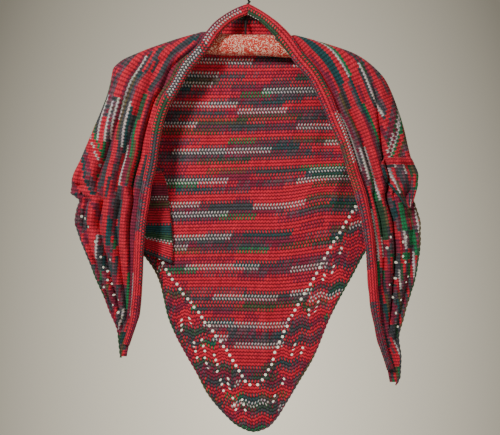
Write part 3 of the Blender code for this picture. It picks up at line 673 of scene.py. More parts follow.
def knit(name, s_line, t_line, place, chart, per_stitch, knit_to, holes=(), seed=1):
    """A stretch of knitting as a draped shell.

    s_line and t_line are the chart's lines in millimetres along a row and across the rows, with
    per_stitch columns to a stitch and two lines to a row. place(s, t) gives where each corner lies.
    knit_to is the direction that the knit side faces, or gives the middle that it faces in a roll, and
    the purl side faces the other way.
    """
    size = sizes()
    s, t = (grid.astype(float) for grid in np.meshgrid(s_line, t_line))
    rows, count = s.shape
    i, j = np.meshgrid(np.arange(count), np.arange(rows))
    phase = (i % per_stitch) / per_stitch
    zigzag = ZIGZAG * size["row"] * np.cos(2 * np.pi * phase)
    gone, rim = open_eyelets(s, t, holes, size["stitch"], 2 * (t_line[1] - t_line[0]))
    inner_part = np.zeros_like(s, bool)
    inner_part[1:-1, 1:-1] = True
    t = np.where(inner_part & ~rim, t - zigzag, t)
    points = place(s, t)
    normals = smooth_normals(points)
    faces = knit_to(s) - points if callable(knit_to) else np.array(knit_to, float)
    toward_knit = float(np.sign(np.nansum(normals * faces)))
    ridge = -np.cos(np.pi * j)
    wale = -np.cos(4 * np.pi * phase) if per_stitch > 2 else -np.cos(2 * np.pi * phase)
    spacing = np.linalg.norm(np.gradient(points, axis=0), axis=-1) / (t_line[1] - t_line[0])
    height = size["relief"] * np.clip(spacing, 0.1, 1) * (RIDGE_SHARE * ridge + WALE_SHARE * wale)
    points = points + normals * (toward_knit * height)[..., None]
    bm = grid_through(points)
    cell = bm.faces.layers.int.new("cell")
    uv = bm.loops.layers.uv.new("stitches")
    flat_i, flat_j = i.ravel() / per_stitch, j.ravel() / 2
    for number, face in enumerate(bm.faces):
        face[cell] = number
        for loop in face.loops:
            at = loop.vert.index
            loop[uv].uv = (flat_i[at], flat_j[at])
    doomed = [face for face in bm.faces if gone[face[cell] // (count - 1), face[cell] % (count - 1)]]
    bmesh.ops.delete(bm, geom=doomed, context="FACES")
    bmesh.ops.remove_doubles(bm, verts=bm.verts, dist=0.00012)
    slivers = [face for face in bm.faces if face.calc_area() < 2e-9]
    bmesh.ops.delete(bm, geom=slivers, context="FACES")
    loose = [vert for vert in bm.verts if not vert.link_faces]
    bmesh.ops.delete(bm, geom=loose, context="VERTS")
    if toward_knit < 0:
        bmesh.ops.reverse_faces(bm, faces=bm.faces)
    mesh = mesh_of(bm, name)
    mesh.shade_smooth()
    colour_cells(mesh, chart, count - 1, per_stitch, seed)
    obj = add_object(name, mesh)
    mesh.materials.append(knit_material("knit side", "knit_colour", purl=False))
    mesh.materials.append(knit_material("purl side", "purl_colour", purl=True))
    wall = obj.modifiers.new("wall", "SOLIDIFY")
    wall.thickness = size["wall"] * MM
    wall.offset = 0
    wall.material_offset = 1
    wall.material_offset_rim = 0
    return obj


def colour_cells(mesh, chart, per_row, per_stitch, seed):
    """Gives each cell the colour of its yarn, as it shows on the knit side and on the purl side."""
    numbers = np.zeros(len(mesh.polygons), int)
    mesh.attributes["cell"].data.foreach_get("value", numbers)
    j, i = numbers // per_row, numbers % per_row
    stitch = np.minimum(i // per_stitch, chart.shape[1] - 1)
    colours = dye(chart, seed)
    last = chart.shape[0] - 1
    knit_rows = np.minimum(j // 2, last)
    head = (i % per_stitch) < per_stitch / 2
    band = (j + 1) // 2
    purl_rows = np.clip(np.where(head, band - 1, band), 0, last)
    store_colour(mesh, "knit_colour", colours[knit_rows, stitch])
    store_colour(mesh, "purl_colour", colours[purl_rows, stitch])


# Materials


def new_material(name):
    material = bpy.data.materials.new(name)
    material.use_nodes = True
    return material, material.node_tree, material.node_tree.nodes["Principled BSDF"]


def maths(tree, operation, first, second=None, third=None):
    """A Math node on values or other nodes' outputs."""
    node = tree.nodes.new("ShaderNodeMath")
    node.operation = operation
    for socket, value in zip(node.inputs, (first, second, third)):
        if value is None:
            continue
        if isinstance(value, (int, float)):
            socket.default_value = value
        else:
            tree.links.new(value, socket)
    return node.outputs[0]


def noise(tree, scale, detail=2.0, vector=None):
    node = tree.nodes.new("ShaderNodeTexNoise")
    node.inputs["Scale"].default_value = scale
    node.inputs["Detail"].default_value = detail
    if vector is not None:
        tree.links.new(vector, node.inputs["Vector"])
    return node


def object_coords(tree):
    return tree.nodes.new("ShaderNodeTexCoord").outputs["Object"]


def ramp(tree, value, first, last, places=(0.0, 1.0)):
    """A colour between two others, by a value."""
    node = tree.nodes.new("ShaderNodeValToRGB")
    for stop, colour, place in zip(node.color_ramp.elements, (first, last), places):
        stop.color = (*colour, 1)
        stop.position = place
    tree.links.new(value, node.inputs[0])
    return node.outputs[0]


def raise_surface(tree, shader, height, strength, distance):
    """Raises a surface by a height, as bump."""
    node = tree.nodes.new("ShaderNodeBump")
    node.inputs["Strength"].default_value = strength
    node.inputs["Distance"].default_value = distance
    tree.links.new(height, node.inputs["Height"])
    tree.links.new(node.outputs[0], shader.inputs["Normal"])


def humps(tree, value):
    """0 at whole numbers and 1 half way between them."""
    part = maths(tree, "FRACT", value)
    return maths(tree, "MULTIPLY", maths(tree, "MULTIPLY", part, 4.0), maths(tree, "SUBTRACT", 1.0, part))


def yarn_material(name, layer):
    """A soft yarn's material with its loose fibres, and the colour that is stored on the cells."""
    material, tree, shader = new_material(name)
    shader.inputs["Roughness"].default_value = 0.86
    shader.inputs["Specular IOR Level"].default_value = 0.25
    shader.inputs["Sheen Weight"].default_value = bpy.context.scene.shawl_knit.fuzz
    shader.inputs["Sheen Roughness"].default_value = 0.45
    colour = tree.nodes.new("ShaderNodeAttribute")
    colour.attribute_name = layer
    fibres = noise(tree, 900.0, 3.0, object_coords(tree)).outputs[0]
    return material, tree, shader, colour.outputs["Color"], fibres


def shade_yarn(tree, shader, colour, shade, height, distance):
    """Gives the yarn its colour scaled by the shade, which holds painted shade in the gaps of the knitting
    and the fibres' own tone, and raises it by the height.
    """
    tint = tree.nodes.new("ShaderNodeVectorMath")
    tint.operation = "SCALE"
    tree.links.new(colour, tint.inputs[0])
    tree.links.new(shade, tint.inputs["Scale"])
    tree.links.new(tint.outputs[0], shader.inputs["Base Color"])
    raise_surface(tree, shader, height, 0.8, distance)


def knit_material(name, layer, purl):
    """Knitted yarn: each stitch's relief as bump and as painted shade, darker in the gaps between rows and
    between legs, and steeper round light yarn, which shows as thin lines.
    """
    made = bpy.data.materials.get(name)
    if made:
        return made
    material, tree, shader, colour, fibres = yarn_material(name, layer)
    uv = tree.nodes.new("ShaderNodeUVMap")
    uv.uv_map = "stitches"
    parts = tree.nodes.new("ShaderNodeSeparateXYZ")
    tree.links.new(uv.outputs[0], parts.inputs[0])
    u, v = parts.outputs[0], parts.outputs[1]
    channels = tree.nodes.new("ShaderNodeSeparateColor")
    tree.links.new(colour, channels.inputs[0])
    # How light the yarn is: light yarn gets a steeper profile, so the painted shade round it closes in and it
    # shows as thin lines.
    light = maths(tree, "POWER", channels.outputs[1], 2.0)
    if purl:
        rows = humps(tree, maths(tree, "ADD", v, 0.5))
        rows = maths(tree, "POWER", rows, maths(tree, "MULTIPLY_ADD", light, 14.0, 1.3))
        legs = maths(tree, "MULTIPLY_ADD", humps(tree, maths(tree, "MULTIPLY", u, 2.0)), 0.4, 0.6)
    else:
        rows = maths(tree, "POWER", humps(tree, v), maths(tree, "MULTIPLY_ADD", light, 10.0, 0.35))
        rows = maths(tree, "MULTIPLY_ADD", rows, 0.75, 0.25)
        legs = maths(tree, "MULTIPLY_ADD", humps(tree, maths(tree, "ADD", u, 0.5)), 0.8, 0.2)
    stitch_relief = maths(tree, "MULTIPLY", legs, rows)
    # Painted shade: the colour is darkened where the stitch relief is low, in the gaps between rows and legs.
    shade = maths(tree, "MULTIPLY_ADD", stitch_relief, 1.3 if purl else 1.08, 0.20)
    shade = maths(tree, "MULTIPLY", shade, maths(tree, "MULTIPLY_ADD", fibres, 0.6, 0.70))
    shade_yarn(tree, shader, colour, shade, maths(tree, "MULTIPLY_ADD", fibres, 0.25, stitch_relief), 0.0009)
    return material


def cover_material():
    """Closely woven cover in light threads with red ones showing between them."""
    made = bpy.data.materials.get("speckled cover")
    if made:
        return made
    colours = bpy.context.scene.shawl_hanger
    material, tree, shader = new_material("speckled cover")
    shader.inputs["Roughness"].default_value = 0.8
    shader.inputs["Specular IOR Level"].default_value = 0.3
    shader.inputs["Sheen Weight"].default_value = 0.15
    coords = object_coords(tree)
    cells = tree.nodes.new("ShaderNodeTexVoronoi")
    cells.inputs["Scale"].default_value = 500.0
    tree.links.new(coords, cells.inputs["Vector"])
    blots = noise(tree, 210.0, 3.0, coords)
    speckle = maths(tree, "MULTIPLY_ADD", cells.outputs["Distance"], 0.9, 0.0)
    speckle = maths(tree, "ADD", speckle, maths(tree, "MULTIPLY", blots.outputs[0], 0.9))
    threads = ramp(tree, speckle, colours.cover, colours.speckle, (0.70, 0.90))
    tree.links.new(threads, shader.inputs["Base Color"])
    raise_surface(tree, shader, cells.outputs["Distance"], 0.6, 0.0008)
    return material


def wire_material():
    made = bpy.data.materials.get("dark wire finish")
    if made:
        return made
    material, tree, shader = new_material("dark wire finish")
    shader.inputs["Specular IOR Level"].default_value = 0.2
    wear = noise(tree, 300.0, 4.0, object_coords(tree)).outputs[0]
    worn = ramp(tree, wear, bpy.context.scene.shawl_hanger.wire, (0.03, 0.022, 0.018))
    tree.links.new(worn, shader.inputs["Base Color"])
    tree.links.new(maths(tree, "MULTIPLY_ADD", wear, 0.3, 0.5), shader.inputs["Roughness"])
    return material


def plain_material(name, colour, roughness):
    material, tree, shader = new_material(name)
    shader.inputs["Roughness"].default_value = roughness
    soft = noise(tree, 3.0, 2.0, object_coords(tree)).outputs[0]
    tree.links.new(ramp(tree, soft, [c * 0.97 for c in colour], colour), shader.inputs["Base Color"])
    return material


def plain_room(studio):
    """A plain wall, lightest below the middle of the view and darker towards its corners."""
    world = bpy.data.worlds.new("plain room")
    world.use_nodes = True
    tree = world.node_tree
    spread = tree.nodes.new("ShaderNodeVectorMath")
    spread.operation = "MULTIPLY"
    spread.inputs[1].default_value = (1.8, 1.0, 1.0)
    tree.links.new(tree.nodes.new("ShaderNodeTexCoord").outputs["Generated"], spread.inputs[0])
    away = tree.nodes.new("ShaderNodeVectorMath")
    away.operation = "DISTANCE"
    away.inputs[1].default_value = (0.0, 0.96, -0.15)
    tree.links.new(spread.outputs[0], away.inputs[0])
    pool, corners = ([c * share for c in studio.background] for share in (studio.pool, studio.corners))
    wall = ramp(tree, away.outputs["Value"], pool, corners, (0.0, 0.55))
    tree.links.new(wall, tree.nodes["Background"].inputs["Color"])
    return world


# The back

BACK_ENDS = (-277, 264)  # its left and right sides, just inside the fronts' folds
BACK_LEVELS = (58, 752)  # the chart's first and last line, as `down` where the rows are level
NUB_RUN = 8.6  # from one nub of the hem to the next
NUB = 2.3  # how far a nub stands out
LACE_FROM = 10  # the lace begins this far below the line of eyelets
LACE_WAVE = 3.2  # how far the lace's rows wave up and down, and the run of one wave
LACE_WAVE_RUN = 31.0
EYELET_RUNS = ((-238, 5), (12, 236))  # where the two lines of eyelets begin and end, across the back


def scene_top(x):
    """Upper edge of the back, with the neck's edge led softly into the arms'."""
    neck = along(NECK_TOP, "x", "down", x)
    arms = over_arms(x, FOLD_ROWS[-1], FOLD_ROWS[1])
    over_arm = np.where(x < 0, ease((-x - 54) / 24), ease((x - 60) / 24))
    return neck * (1 - over_arm) + arms * over_arm


def back_sway(x, level):
    """How far a row of the back lies below its own level: it lifts to the right, and waves in the lace."""
    lift = -16 * ease((x - 30) / 150) * ease((level - 250) / 140) - 5 * np.exp(
        -(((x - 118) / 30) ** 2) - ((level - 385) / 45) ** 2
    )
    below = level + lift - along(EYELET_LINE, "x", "down", x) - 8
    wave = LACE_WAVE * ease(below / 16) * np.sin(2 * np.pi * x / LACE_WAVE_RUN)
    drift = 1.6 * np.sin(x / 63 + level / 90)
    return lift + wave + drift


def back_place(s, t):
    """Where the back's chart lies: its rows are level, and go up round the arms at their own spacing."""
    top = scene_top(s)
    slope = (scene_top(s + 1) - scene_top(s - 1)) / 2
    over_arm = np.where(s < 0, ease((-s - 62) / 16), ease((s - 62) / 16))
    radius = np.minimum(fold_radius(top) * np.sqrt(1 + slope**2), 45) * over_arm + 0.01
    hem = along(BACK_HEM, "x", "down", s)
    hem = hem + NUB * np.abs(np.sin(np.pi * (s - BACK_ENDS[0]) / NUB_RUN))
    level = t + back_sway(s, t)
    bend = top + radius
    angle = np.clip((bend - level) / radius, 0, np.pi / 2)
    down = np.where(level < bend, bend - radius * np.sin(angle), level)
    down = np.minimum(np.maximum(down, top), np.maximum(hem, top))
    return np.stack([s, back_y(s, down), -down], -1)


def eyelets_of_back(step):
    """All the back's eyelets, on its two lines and in its lace, as (x, down, width)."""
    size = sizes()
    places = []
    for first, last in EYELET_RUNS:
        x = np.linspace(first, last, 400)
        down = along(EYELET_LINE, "x", "down", x)
        run = run_along(x, down)
        at = np.arange(step / 2, run[-1], step)
        widths = np.full(len(at), size["eyelet"])
        places += list(zip(np.interp(at, run, x), np.interp(at, run, down), widths))
    for x, down, count, lean in zip(*LACE_COLUMNS.values()):
        for k in range(int(count)):
            places.append((x + lean * LACE_LEAN * k, down + LACE_STEP * k, size["lace_eyelet"]))
    return places


def level_at(x, down):
    """The chart's level whose row lies at a place on the back."""
    level = down
    for _ in range(8):
        level = down - float(back_sway(np.array(x), np.array(level)))
    return level


def make_back():
    size = sizes()
    s_line = np.arange(BACK_ENDS[0], BACK_ENDS[1] + 0.1, size["stitch"] / 2)
    t_line = np.arange(*BACK_LEVELS, size["back_row"] / 2)
    rows, stitches = len(t_line) // 2 + 1, len(s_line) // 2 + 1
    levels = BACK_LEVELS[0] + np.arange(rows) * size["back_row"]
    plain = {r for r, level in enumerate(levels) if any(a <= level <= b for a, b in BACK_RED)}
    chart = lay_yarn(rows, stitches, 11, plain)
    x, level = np.meshgrid(BACK_ENDS[0] + np.arange(stitches) * size["stitch"], levels)
    down = level + back_sway(x, level)
    in_lace = down > along(EYELET_LINE, "x", "down", x) + LACE_FROM
    laced = lay_yarn(rows, stitches, 14, plain, shorter=0.5)
    laced[(laced == "white") & (np.arange(rows) % 2 > 0)[:, None]] = "wine"
    chart = np.where(in_lace, laced, chart)
    cast_off = down > along(BACK_HEM, "x", "down", x) - size["back_row"]
    chart = np.where(cast_off, lay_yarn(rows, stitches, 15, shorter=0.6), chart)
    chart[cast_off & np.isin(chart, ("white", "red"))] = "slate"
    holes = [(x, level_at(x, down), width) for x, down, width in eyelets_of_back(EYELET_STEP)]
    return knit("knitted_back", s_line, t_line, back_place, chart, 2, (0, 1, 0), holes, seed=12)


# The pleat of the back


def resample(x, y, steps):
    """Points at even steps along a line, from one end to the other."""
    run = run_along(x, y)
    at = np.linspace(0, run[-1], steps)
    return np.interp(at, run, x), np.interp(at, run, y)


PLEAT_COLUMNS = 29
PLEAT_LEVELS = (304, 466)


def pleat_place(s, t):
    turn = np.radians(np.linspace(30, 180, 9))
    points = np.empty(s.shape + (3,))
    for row in range(s.shape[0]):
        down = float(np.clip(t[row, 1], *PLEAT_LEVELS))
        inner = float(along(BACK_FOLD, "down", "inner", down))
        lap = float(along(BACK_FOLD, "down", "lap", down))
        flat = np.linspace(BACK_FOLD_OUTER, inner - BACK_FOLD_R, 6)
        x = np.concatenate([flat, inner - BACK_FOLD_R * (1 - np.sin(turn)), [inner - BACK_FOLD_R - lap]])
        lift = np.concatenate([6.8 - 1.2 * ((flat - inner) / 40) ** 2, 4.3 + 2.5 * np.cos(turn), [1.8]])
        x, lift = resample(x, lift, s.shape[1])
        slant = BACK_FOLD_SLANT * ease((down - 400) / 60)
        levels = down - slant * (inner - x) / (inner - BACK_FOLD_OUTER)
        points[row] = np.stack([x, back_y(x, levels) - lift - CAD_WALL / 2, -levels], -1)
    return points


def make_pleat():
    size = sizes()
    s_line = np.arange(PLEAT_COLUMNS) * size["stitch"] / 2
    t_line = np.arange(PLEAT_LEVELS[0], PLEAT_LEVELS[1], size["row"] / 2)
    rows = len(t_line) // 2 + 1
    bands = (("slate", 3), ("red", 5), ("wine", 5), ("white", 1), ("wine", 1), ("olive", 2), ("wine", 1),
             ("red", 6), ("teal", 4), ("forest", 3), ("white", 1), ("red", 6), ("slate", 3))
    names = [name for name, count in bands for _ in range(count)]
    chart = np.empty((rows, PLEAT_COLUMNS // 2 + 1), object)
    for row in range(rows):
        chart[row] = names[min(row, len(names) - 1)]
    return knit("back_pleat", s_line, t_line, pleat_place, chart, 2, (0, 1, 0), seed=21)


# The fronts

ARC_LEFT = np.pi / 2 - 1  # a quarter turn's arc is longer than its radius by this share
FRONT_ENDS = {-1: (98, 610), 1: (106, 650)}  # `down` where each front's inner edge begins and ends
NECK_SIDE = 74  # from the middle to where the arm's fold begins
NECK_LEVEL = {-1: 94, 1: 100}  # `down` of each front's top there
FRONT_WIDEST = 170
LEAN_SOFT = 30  # steps of the inner edge, each way, over which its direction is evened out
BORDER = (20, 56)  # width of the lace border, over the arm and from the side down


def inner_edge(side):
    """The front's inner edge at even steps: its place, its outward direction and how far the cloth goes."""
    outline, front, _ = front_tables(side)
    first, last = FRONT_ENDS[side]
    down = np.linspace(first, last, 900)
    x = along(front, "down", "side", down) + 2
    run = run_along(x, down)
    at = np.arange(0, run[-1], 1.0)
    x, down = np.interp(at, run, x), np.interp(at, run, down)
    lean = np.unwrap(np.arctan2(np.gradient(x), np.gradient(down)))
    soft = np.ones(2 * LEAN_SOFT + 1) / (2 * LEAN_SOFT + 1)
    lean = np.convolve(np.pad(lean, LEAN_SOFT, mode="edge"), soft, mode="valid")
    lean = lean * (1 - ease((down - (last - 90)) / 60))
    out_x, out_down = np.cos(lean), -np.sin(lean)
    reach = np.arange(0, FRONT_WIDEST, 0.1)
    px = x[:, None] + out_x[:, None] * reach
    pd = down[:, None] + out_down[:, None] * reach
    arm = columns_of(outline, FOLD_ROWS[side])
    upper = np.interp(px, [x[0], NECK_SIDE], [first, NECK_LEVEL[side]])
    over = np.where(px > NECK_SIDE, along(arm, "side", "down", px), upper)
    inside = (px <= along(outline, "down", "side", pd)) & (pd >= over)
    inside[:, 0] = True
    end = reach[np.argmax(~inside, axis=1)] - 0.1
    end = np.maximum(end, 3.0)
    end_down = down + out_down * end
    radius = fold_radius(end_down) * (1 - ease((end_down - 320) / 50))
    return {
        "at": at, "x": x, "down": down, "out_x": out_x, "out_down": out_down, "end": end, "radius": radius,
    }


def front_place(side, edge):
    def at(name, s):
        return np.interp(s, edge["at"], edge[name])

    def flat(s, t):
        """A chart's place in the front's own plane, as its distance from the middle and `down`."""
        radius, end = at("radius", s) + 0.01, at("end", s)
        nub = NUB * np.abs(np.sin(np.pi * s / NUB_RUN)) * (radius < 3)
        total = end + ARC_LEFT * radius + nub
        left = np.maximum(total - t, 0)
        bent = radius * (1 - np.cos(left / radius))
        left = np.where(left < radius * np.pi / 2, bent, left - ARC_LEFT * radius)
        off = end + nub - left
        return at("x", s) + at("out_x", s) * off, at("down", s) + at("out_down", s) * off

    def place(s, t):
        x, down = flat(s, t)
        return np.stack([side * x, front_y(side, x, down), -down], -1)

    return flat, place


def chart_places(flat, s_line, t_line, wanted):
    """The chart's corner nearest each wanted place of the plane."""
    s, t = np.meshgrid(s_line, t_line)
    x, down = flat(s, t)
    found = []
    for wx, wd in wanted:
        nearest = np.unravel_index(np.argmin(np.hypot(x - wx, down - wd)), s.shape)
        found.append((s[nearest], t[nearest], sizes()["lace_eyelet"]))
    return found


def slanting(s, t, reach, start, bands):
    """Where a front's slanting bands lie on its chart, and their colours."""
    at = s - start + BANDS_SLANT * (t - reach)
    ends = np.cumsum([wide for _, wide in bands])
    which = np.searchsorted(ends, at)
    names = np.array([name for name, _ in bands] + ["red"], object)
    return (at >= 0) & (at < ends[-1]) & (t > reach - BANDS_DEEP), names[which]


def front_chart(rows, stitches, seed, edge, side, red_rows):
    """The colours of a front: its laid yarn, its lace border in shorter stretches, and its own streaks."""
    size = sizes()
    plain = {r for r in range(rows) if any(a <= r <= b for a, b in red_rows)}
    chart = lay_yarn(rows, stitches, seed, plain, start=seed)
    s, t = np.meshgrid(np.arange(stitches) * size["stitch"], np.arange(rows) * size["row"])
    down = np.interp(s, edge["at"], edge["down"])
    reach = np.interp(s, edge["at"], edge["end"]) + ARC_LEFT * np.interp(s, edge["at"], edge["radius"])
    border = BORDER[0] + (BORDER[1] - BORDER[0]) * ease((down - 300) / 90)
    chart[chart == "white"] = "heather"
    laced = lay_yarn(rows, stitches, seed + 30, shorter=0.33)
    laced[(laced == "white") & (np.arange(rows) % 3 > 0)[:, None]] = "wine"
    chart = np.where(t > reach - border, laced, chart)
    for off, first, last, high, colour in LEFT_STREAKS if side < 0 else RIGHT_STREAKS:
        row = int(off / size["row"])
        start, end = (np.interp((first, last), edge["down"], edge["at"]) / size["stitch"]).astype(int)
        chart[row : row + high, start:end] = colour
    first, bands = LEFT_BANDS if side < 0 else RIGHT_BANDS
    there, colours = slanting(s, t, reach, np.interp(first, edge["down"], edge["at"]), bands)
    return np.where(there, colours, chart)


def make_front(side, name, seed, red_rows):
    size = sizes()
    edge = inner_edge(side)
    flat, place = front_place(side, edge)
    s_line = np.arange(0, edge["at"][-1], size["stitch"] / 4)
    reach = float((edge["end"] + ARC_LEFT * edge["radius"]).max()) + 4
    t_line = np.arange(0, reach, size["row"] / 2)
    chart = front_chart(len(t_line) // 2 + 1, len(s_line) // 4 + 2, seed, edge, side, red_rows)
    holes = chart_places(flat, s_line, t_line, LEFT_EYELETS if side < 0 else RIGHT_EYELETS)
    return knit(name, s_line, t_line, place, chart, 4, (0, -1, 0), holes, seed=seed + 1)


def flap_place(s, t):
    """The flap's chart: s runs down it and t from its inner edge out. Its top curls, and a hollow opens."""
    down = np.clip(s, *FLAP_ENDS)
    inner, outer = along(FLAP, "down", "inner", down), along(FLAP, "down", "outer", down)
    across = t / FLAP_WIDE
    x = inner + (outer - inner) * across
    curl = 3.0 * np.exp(-(((down - 301) / 4.5) ** 2))
    hollow = 5.0 * np.exp(-(((across - 0.80) / 0.16) ** 2) - ((down - 315) / 8.5) ** 2)
    lumps = 1.2 * np.sin(down / 6.1 + 5 * across) * np.sin(np.pi * across)
    lift = FLAP_OFF + 2 * np.sin(np.pi * across) + curl - hollow + lumps
    return np.stack([x, front_y(1, x, down) - CAD_WALL - lift, -down], -1)


def make_flap():
    size = sizes()
    s_line = np.arange(FLAP_ENDS[0], FLAP_ENDS[1], size["stitch"] / 4)
    t_line = np.linspace(0, FLAP_WIDE, 25)
    chart = lay_yarn(len(t_line) // 2 + 1, len(s_line) // 4 + 2, 77, start=6, shorter=0.33)
    chart[:, :2] = "red"
    return knit("right_front_flap", s_line, t_line, flap_place, chart, 4, (0, -1, 0), seed=78)


# The rolled edge


def roll_route(table, side):
    """A rolled edge's middle line, widths and thicknesses at even steps."""
    run = run_along(table["side"], table["down"])
    by_run = {"run": run, **table}
    at = np.arange(0, run[-1], 2.0)
    read = {name: along(by_run, "run", name, at) for name in table}
    on_wing = along(FRONT_OUT, "down", "out", read["down"]) + CAD_WALL / 2 + ROLL_OFF + read["thick"] / 2
    past_neck = ease((read["down"] - 56) / 42)
    out = NECK_ROLL_OUT + (on_wing - NECK_ROLL_OUT) * past_neck
    middle = np.stack([side * read["side"], -out, -read["down"]], -1)
    ahead = np.gradient(middle, axis=0)
    ahead[0] = (side, 0, 0)
    return np.concatenate([middle, ahead, read["wide"][:, None], read["thick"][:, None]], 1)


def roll_place(route, side, turn_total):
    """A chart wound round a route's section, open towards the cloth behind it."""
    step = np.linalg.norm(np.diff(route[:, :3], axis=0), axis=1)
    run = np.concatenate([[0], np.cumsum(step)])

    def read(s):
        return np.stack([np.interp(s, run, route[:, k]) for k in range(route.shape[1])], -1)

    def centre(s):
        return read(s)[..., :3]

    def place(s, t):
        values = read(s)
        middle, ahead, wide, thick = values[..., :3], values[..., 3:6], values[..., 6], values[..., 7]
        depth = np.array([0, 1.0, 0])
        across = np.cross(ahead, depth)
        across /= np.linalg.norm(across, axis=-1, keepdims=True)
        share = np.clip(t / turn_total, 0, 1)
        turns = np.radians(ROLL_TURN[0] + (ROLL_TURN[1] - ROLL_TURN[0]) * share)
        ripple = 0.35 * np.sin(s / 9.0) + 0.3 * np.sin(s / 23.0 + 1)
        half_w = (wide - CAD_WALL) / 2 + ripple
        half_t = (thick - CAD_WALL) / 2
        return middle + across * (side * np.cos(turns) * half_w)[..., None] + depth * (
            np.sin(turns) * half_t
        )[..., None]

    return place, centre, run[-1]


def make_roll(name, route, side, seed):
    size = sizes()
    turn_total = ROLL_ROWS * size["back_row"]
    place, centre, length = roll_place(route, side, turn_total)
    steps = 2 * int(round(length / size["stitch"]))
    s_line = np.linspace(0, length, steps + 1)
    t_line = np.linspace(0, turn_total, 2 * ROLL_ROWS + 1)
    stitches = len(s_line) // 2 + 1
    chart = np.full((len(t_line) // 2 + 1, stitches), "red", object)
    for first_row, last_row, start, end, colour in ROLL_STREAKS[name]:
        chart[first_row : last_row + 1, int(start * stitches) : int(end * stitches)] = colour
    return knit(name, s_line, t_line, place, chart, 2, centre, seed=seed + 1)


def roll_routes():
    """Routes of the left front's roll, the neck's and the right front's."""
    halves = {}
    for side, table in ((-1, LEFT_ROLL), (1, RIGHT_ROLL)):
        route = roll_route(table, side)
        split = int(np.argmax(-route[:, 2] > ROLL_SPLIT))
        halves[side] = (route[split:], route[: split + OVER_SEAM].copy())
    left, right = halves[-1][1], halves[1][1]
    left[:, 3:6] *= -1
    return halves[-1][0], np.concatenate([left[::-1], right[1:]]), halves[1][0]


# Edges and small parts


def tube(name, points, radii, sides=2):
    """A round strand along points in millimetres, as a mesh with closed ends."""
    curve = bpy.data.curves.new(name, "CURVE")
    curve.dimensions = "3D"
    curve.bevel_depth = MM
    curve.bevel_resolution = sides
    curve.use_fill_caps = True
    spline = curve.splines.new("POLY")
    spline.points.add(len(points) - 1)
    for point, xyz, radius in zip(spline.points, points, radii):
        point.co = (*(np.array(xyz) * MM), 1)
        point.radius = radius
    holder = add_object(name + "_route", curve)
    bpy.context.view_layer.update()
    mesh = bpy.data.meshes.new_from_object(holder.evaluated_get(bpy.context.evaluated_depsgraph_get()))
    bpy.data.objects.remove(holder, do_unlink=True)
    mesh.name = name
    mesh.shade_smooth()
    return add_object(name, mesh)


def cast_off_edge(name, points, seed):
    """The nubbly cast-off edge along a hem: a strand that swells at each stitch."""
    run = np.concatenate([[0], np.cumsum(np.linalg.norm(np.diff(points, axis=0), axis=1))])
    at = np.arange(0, run[-1], 1.4)
    path = np.stack([np.interp(at, run, points[:, k]) for k in range(3)], -1)
    swell = np.abs(np.sin(at * np.pi / 8.4))
    obj = tube(name, path, 0.9 + 1.0 * swell)
    mesh = obj.data
    dark = ["forest", "slate", "wine", "slate", "olive", "forest", "heather"]
    rng = np.random.default_rng(seed)
    names = []
    while len(names) < len(at):
        names += [dark[rng.integers(len(dark))]] * int(rng.integers(30, 70))
    colours = dye(np.array(names[: len(at)], object)[:, None], seed)[:, 0]
    centres = np.array([polygon.center for polygon in mesh.polygons]) / MM
    nearest = np.array([np.argmin(((path - centre) ** 2).sum(1)) for centre in centres])
    for layer in ("knit_colour", "purl_colour"):
        store_colour(mesh, layer, colours[nearest])
    mesh.materials.append(strand_material())
    return obj


def strand_material():
    """Plied yarn on an edge: its colour is stored on the strand's faces."""
    made = bpy.data.materials.get("edge yarn")
    if made:
        return made
    material, tree, shader, colour, fibres = yarn_material("edge yarn", "knit_colour")
    shade_yarn(tree, shader, colour, maths(tree, "MULTIPLY_ADD", fibres, 0.6, 0.65), fibres, 0.0006)
    return material


def bar_middle(x):
    """Middle line of the padded bar, worked out from the fold that lies over it."""
    outline = over_arms(x, 5, 5)
    level = 96 - CLEAR
    outline = outline + ease((80 - np.abs(x)) / 60) * (level - outline)
    return outline + CLEAR + CAD_WALL / 2 + BAR_HALF_H


def make_cover():
    """The hanger's padded cover: a soft bar with a gathered end at each arm and a seam underneath."""
    arm = np.linspace(GATHERS_FROM, BAR_REACH, 22)
    plain = np.linspace(2 - GATHERS_FROM, GATHERS_FROM - 2, 88)
    x = np.concatenate([-arm[::-1], plain, arm])
    turns = np.linspace(0, 2 * np.pi, 49)
    end = np.sqrt(np.clip(1 - ((np.abs(x) - ROUNDS_FROM) / (BAR_REACH - ROUNDS_FROM)) ** 2, 0, 1))
    end[np.abs(x) <= ROUNDS_FROM] = 1
    middle = bar_middle(x)
    rng = np.random.default_rng(5)
    lumps = rng.uniform(0, 2 * np.pi, 4)
    grid_x, grid_turn = np.meshgrid(x, turns, indexing="ij")
    pad = 1 + 0.010 * np.sin(grid_x / 17 + lumps[0]) + 0.012 * np.sin(3 * grid_turn + grid_x / 40 + lumps[1])
    gathers = 0.035 * ease((np.abs(grid_x) - GATHERS_FROM) / 14) * np.cos(12 * grid_turn)
    seam = 0.05 * np.exp(-(((grid_turn - 1.5 * np.pi) / 0.10) ** 2))
    size = (pad + gathers - seam) * end[:, None]
    y = BAR_HALF_D * np.cos(grid_turn) * size
    z = BAR_HALF_H * np.sin(grid_turn) * size - middle[:, None]
    bm = grid_through(np.stack([grid_x, y, z], -1))
    bmesh.ops.remove_doubles(bm, verts=bm.verts, dist=0.00005)
    bmesh.ops.recalc_face_normals(bm, faces=bm.faces)
    mesh = mesh_of(bm, "hanger_cover")
    mesh.shade_smooth()
    mesh.materials.append(cover_material())
    return add_object("hanger_cover", mesh)


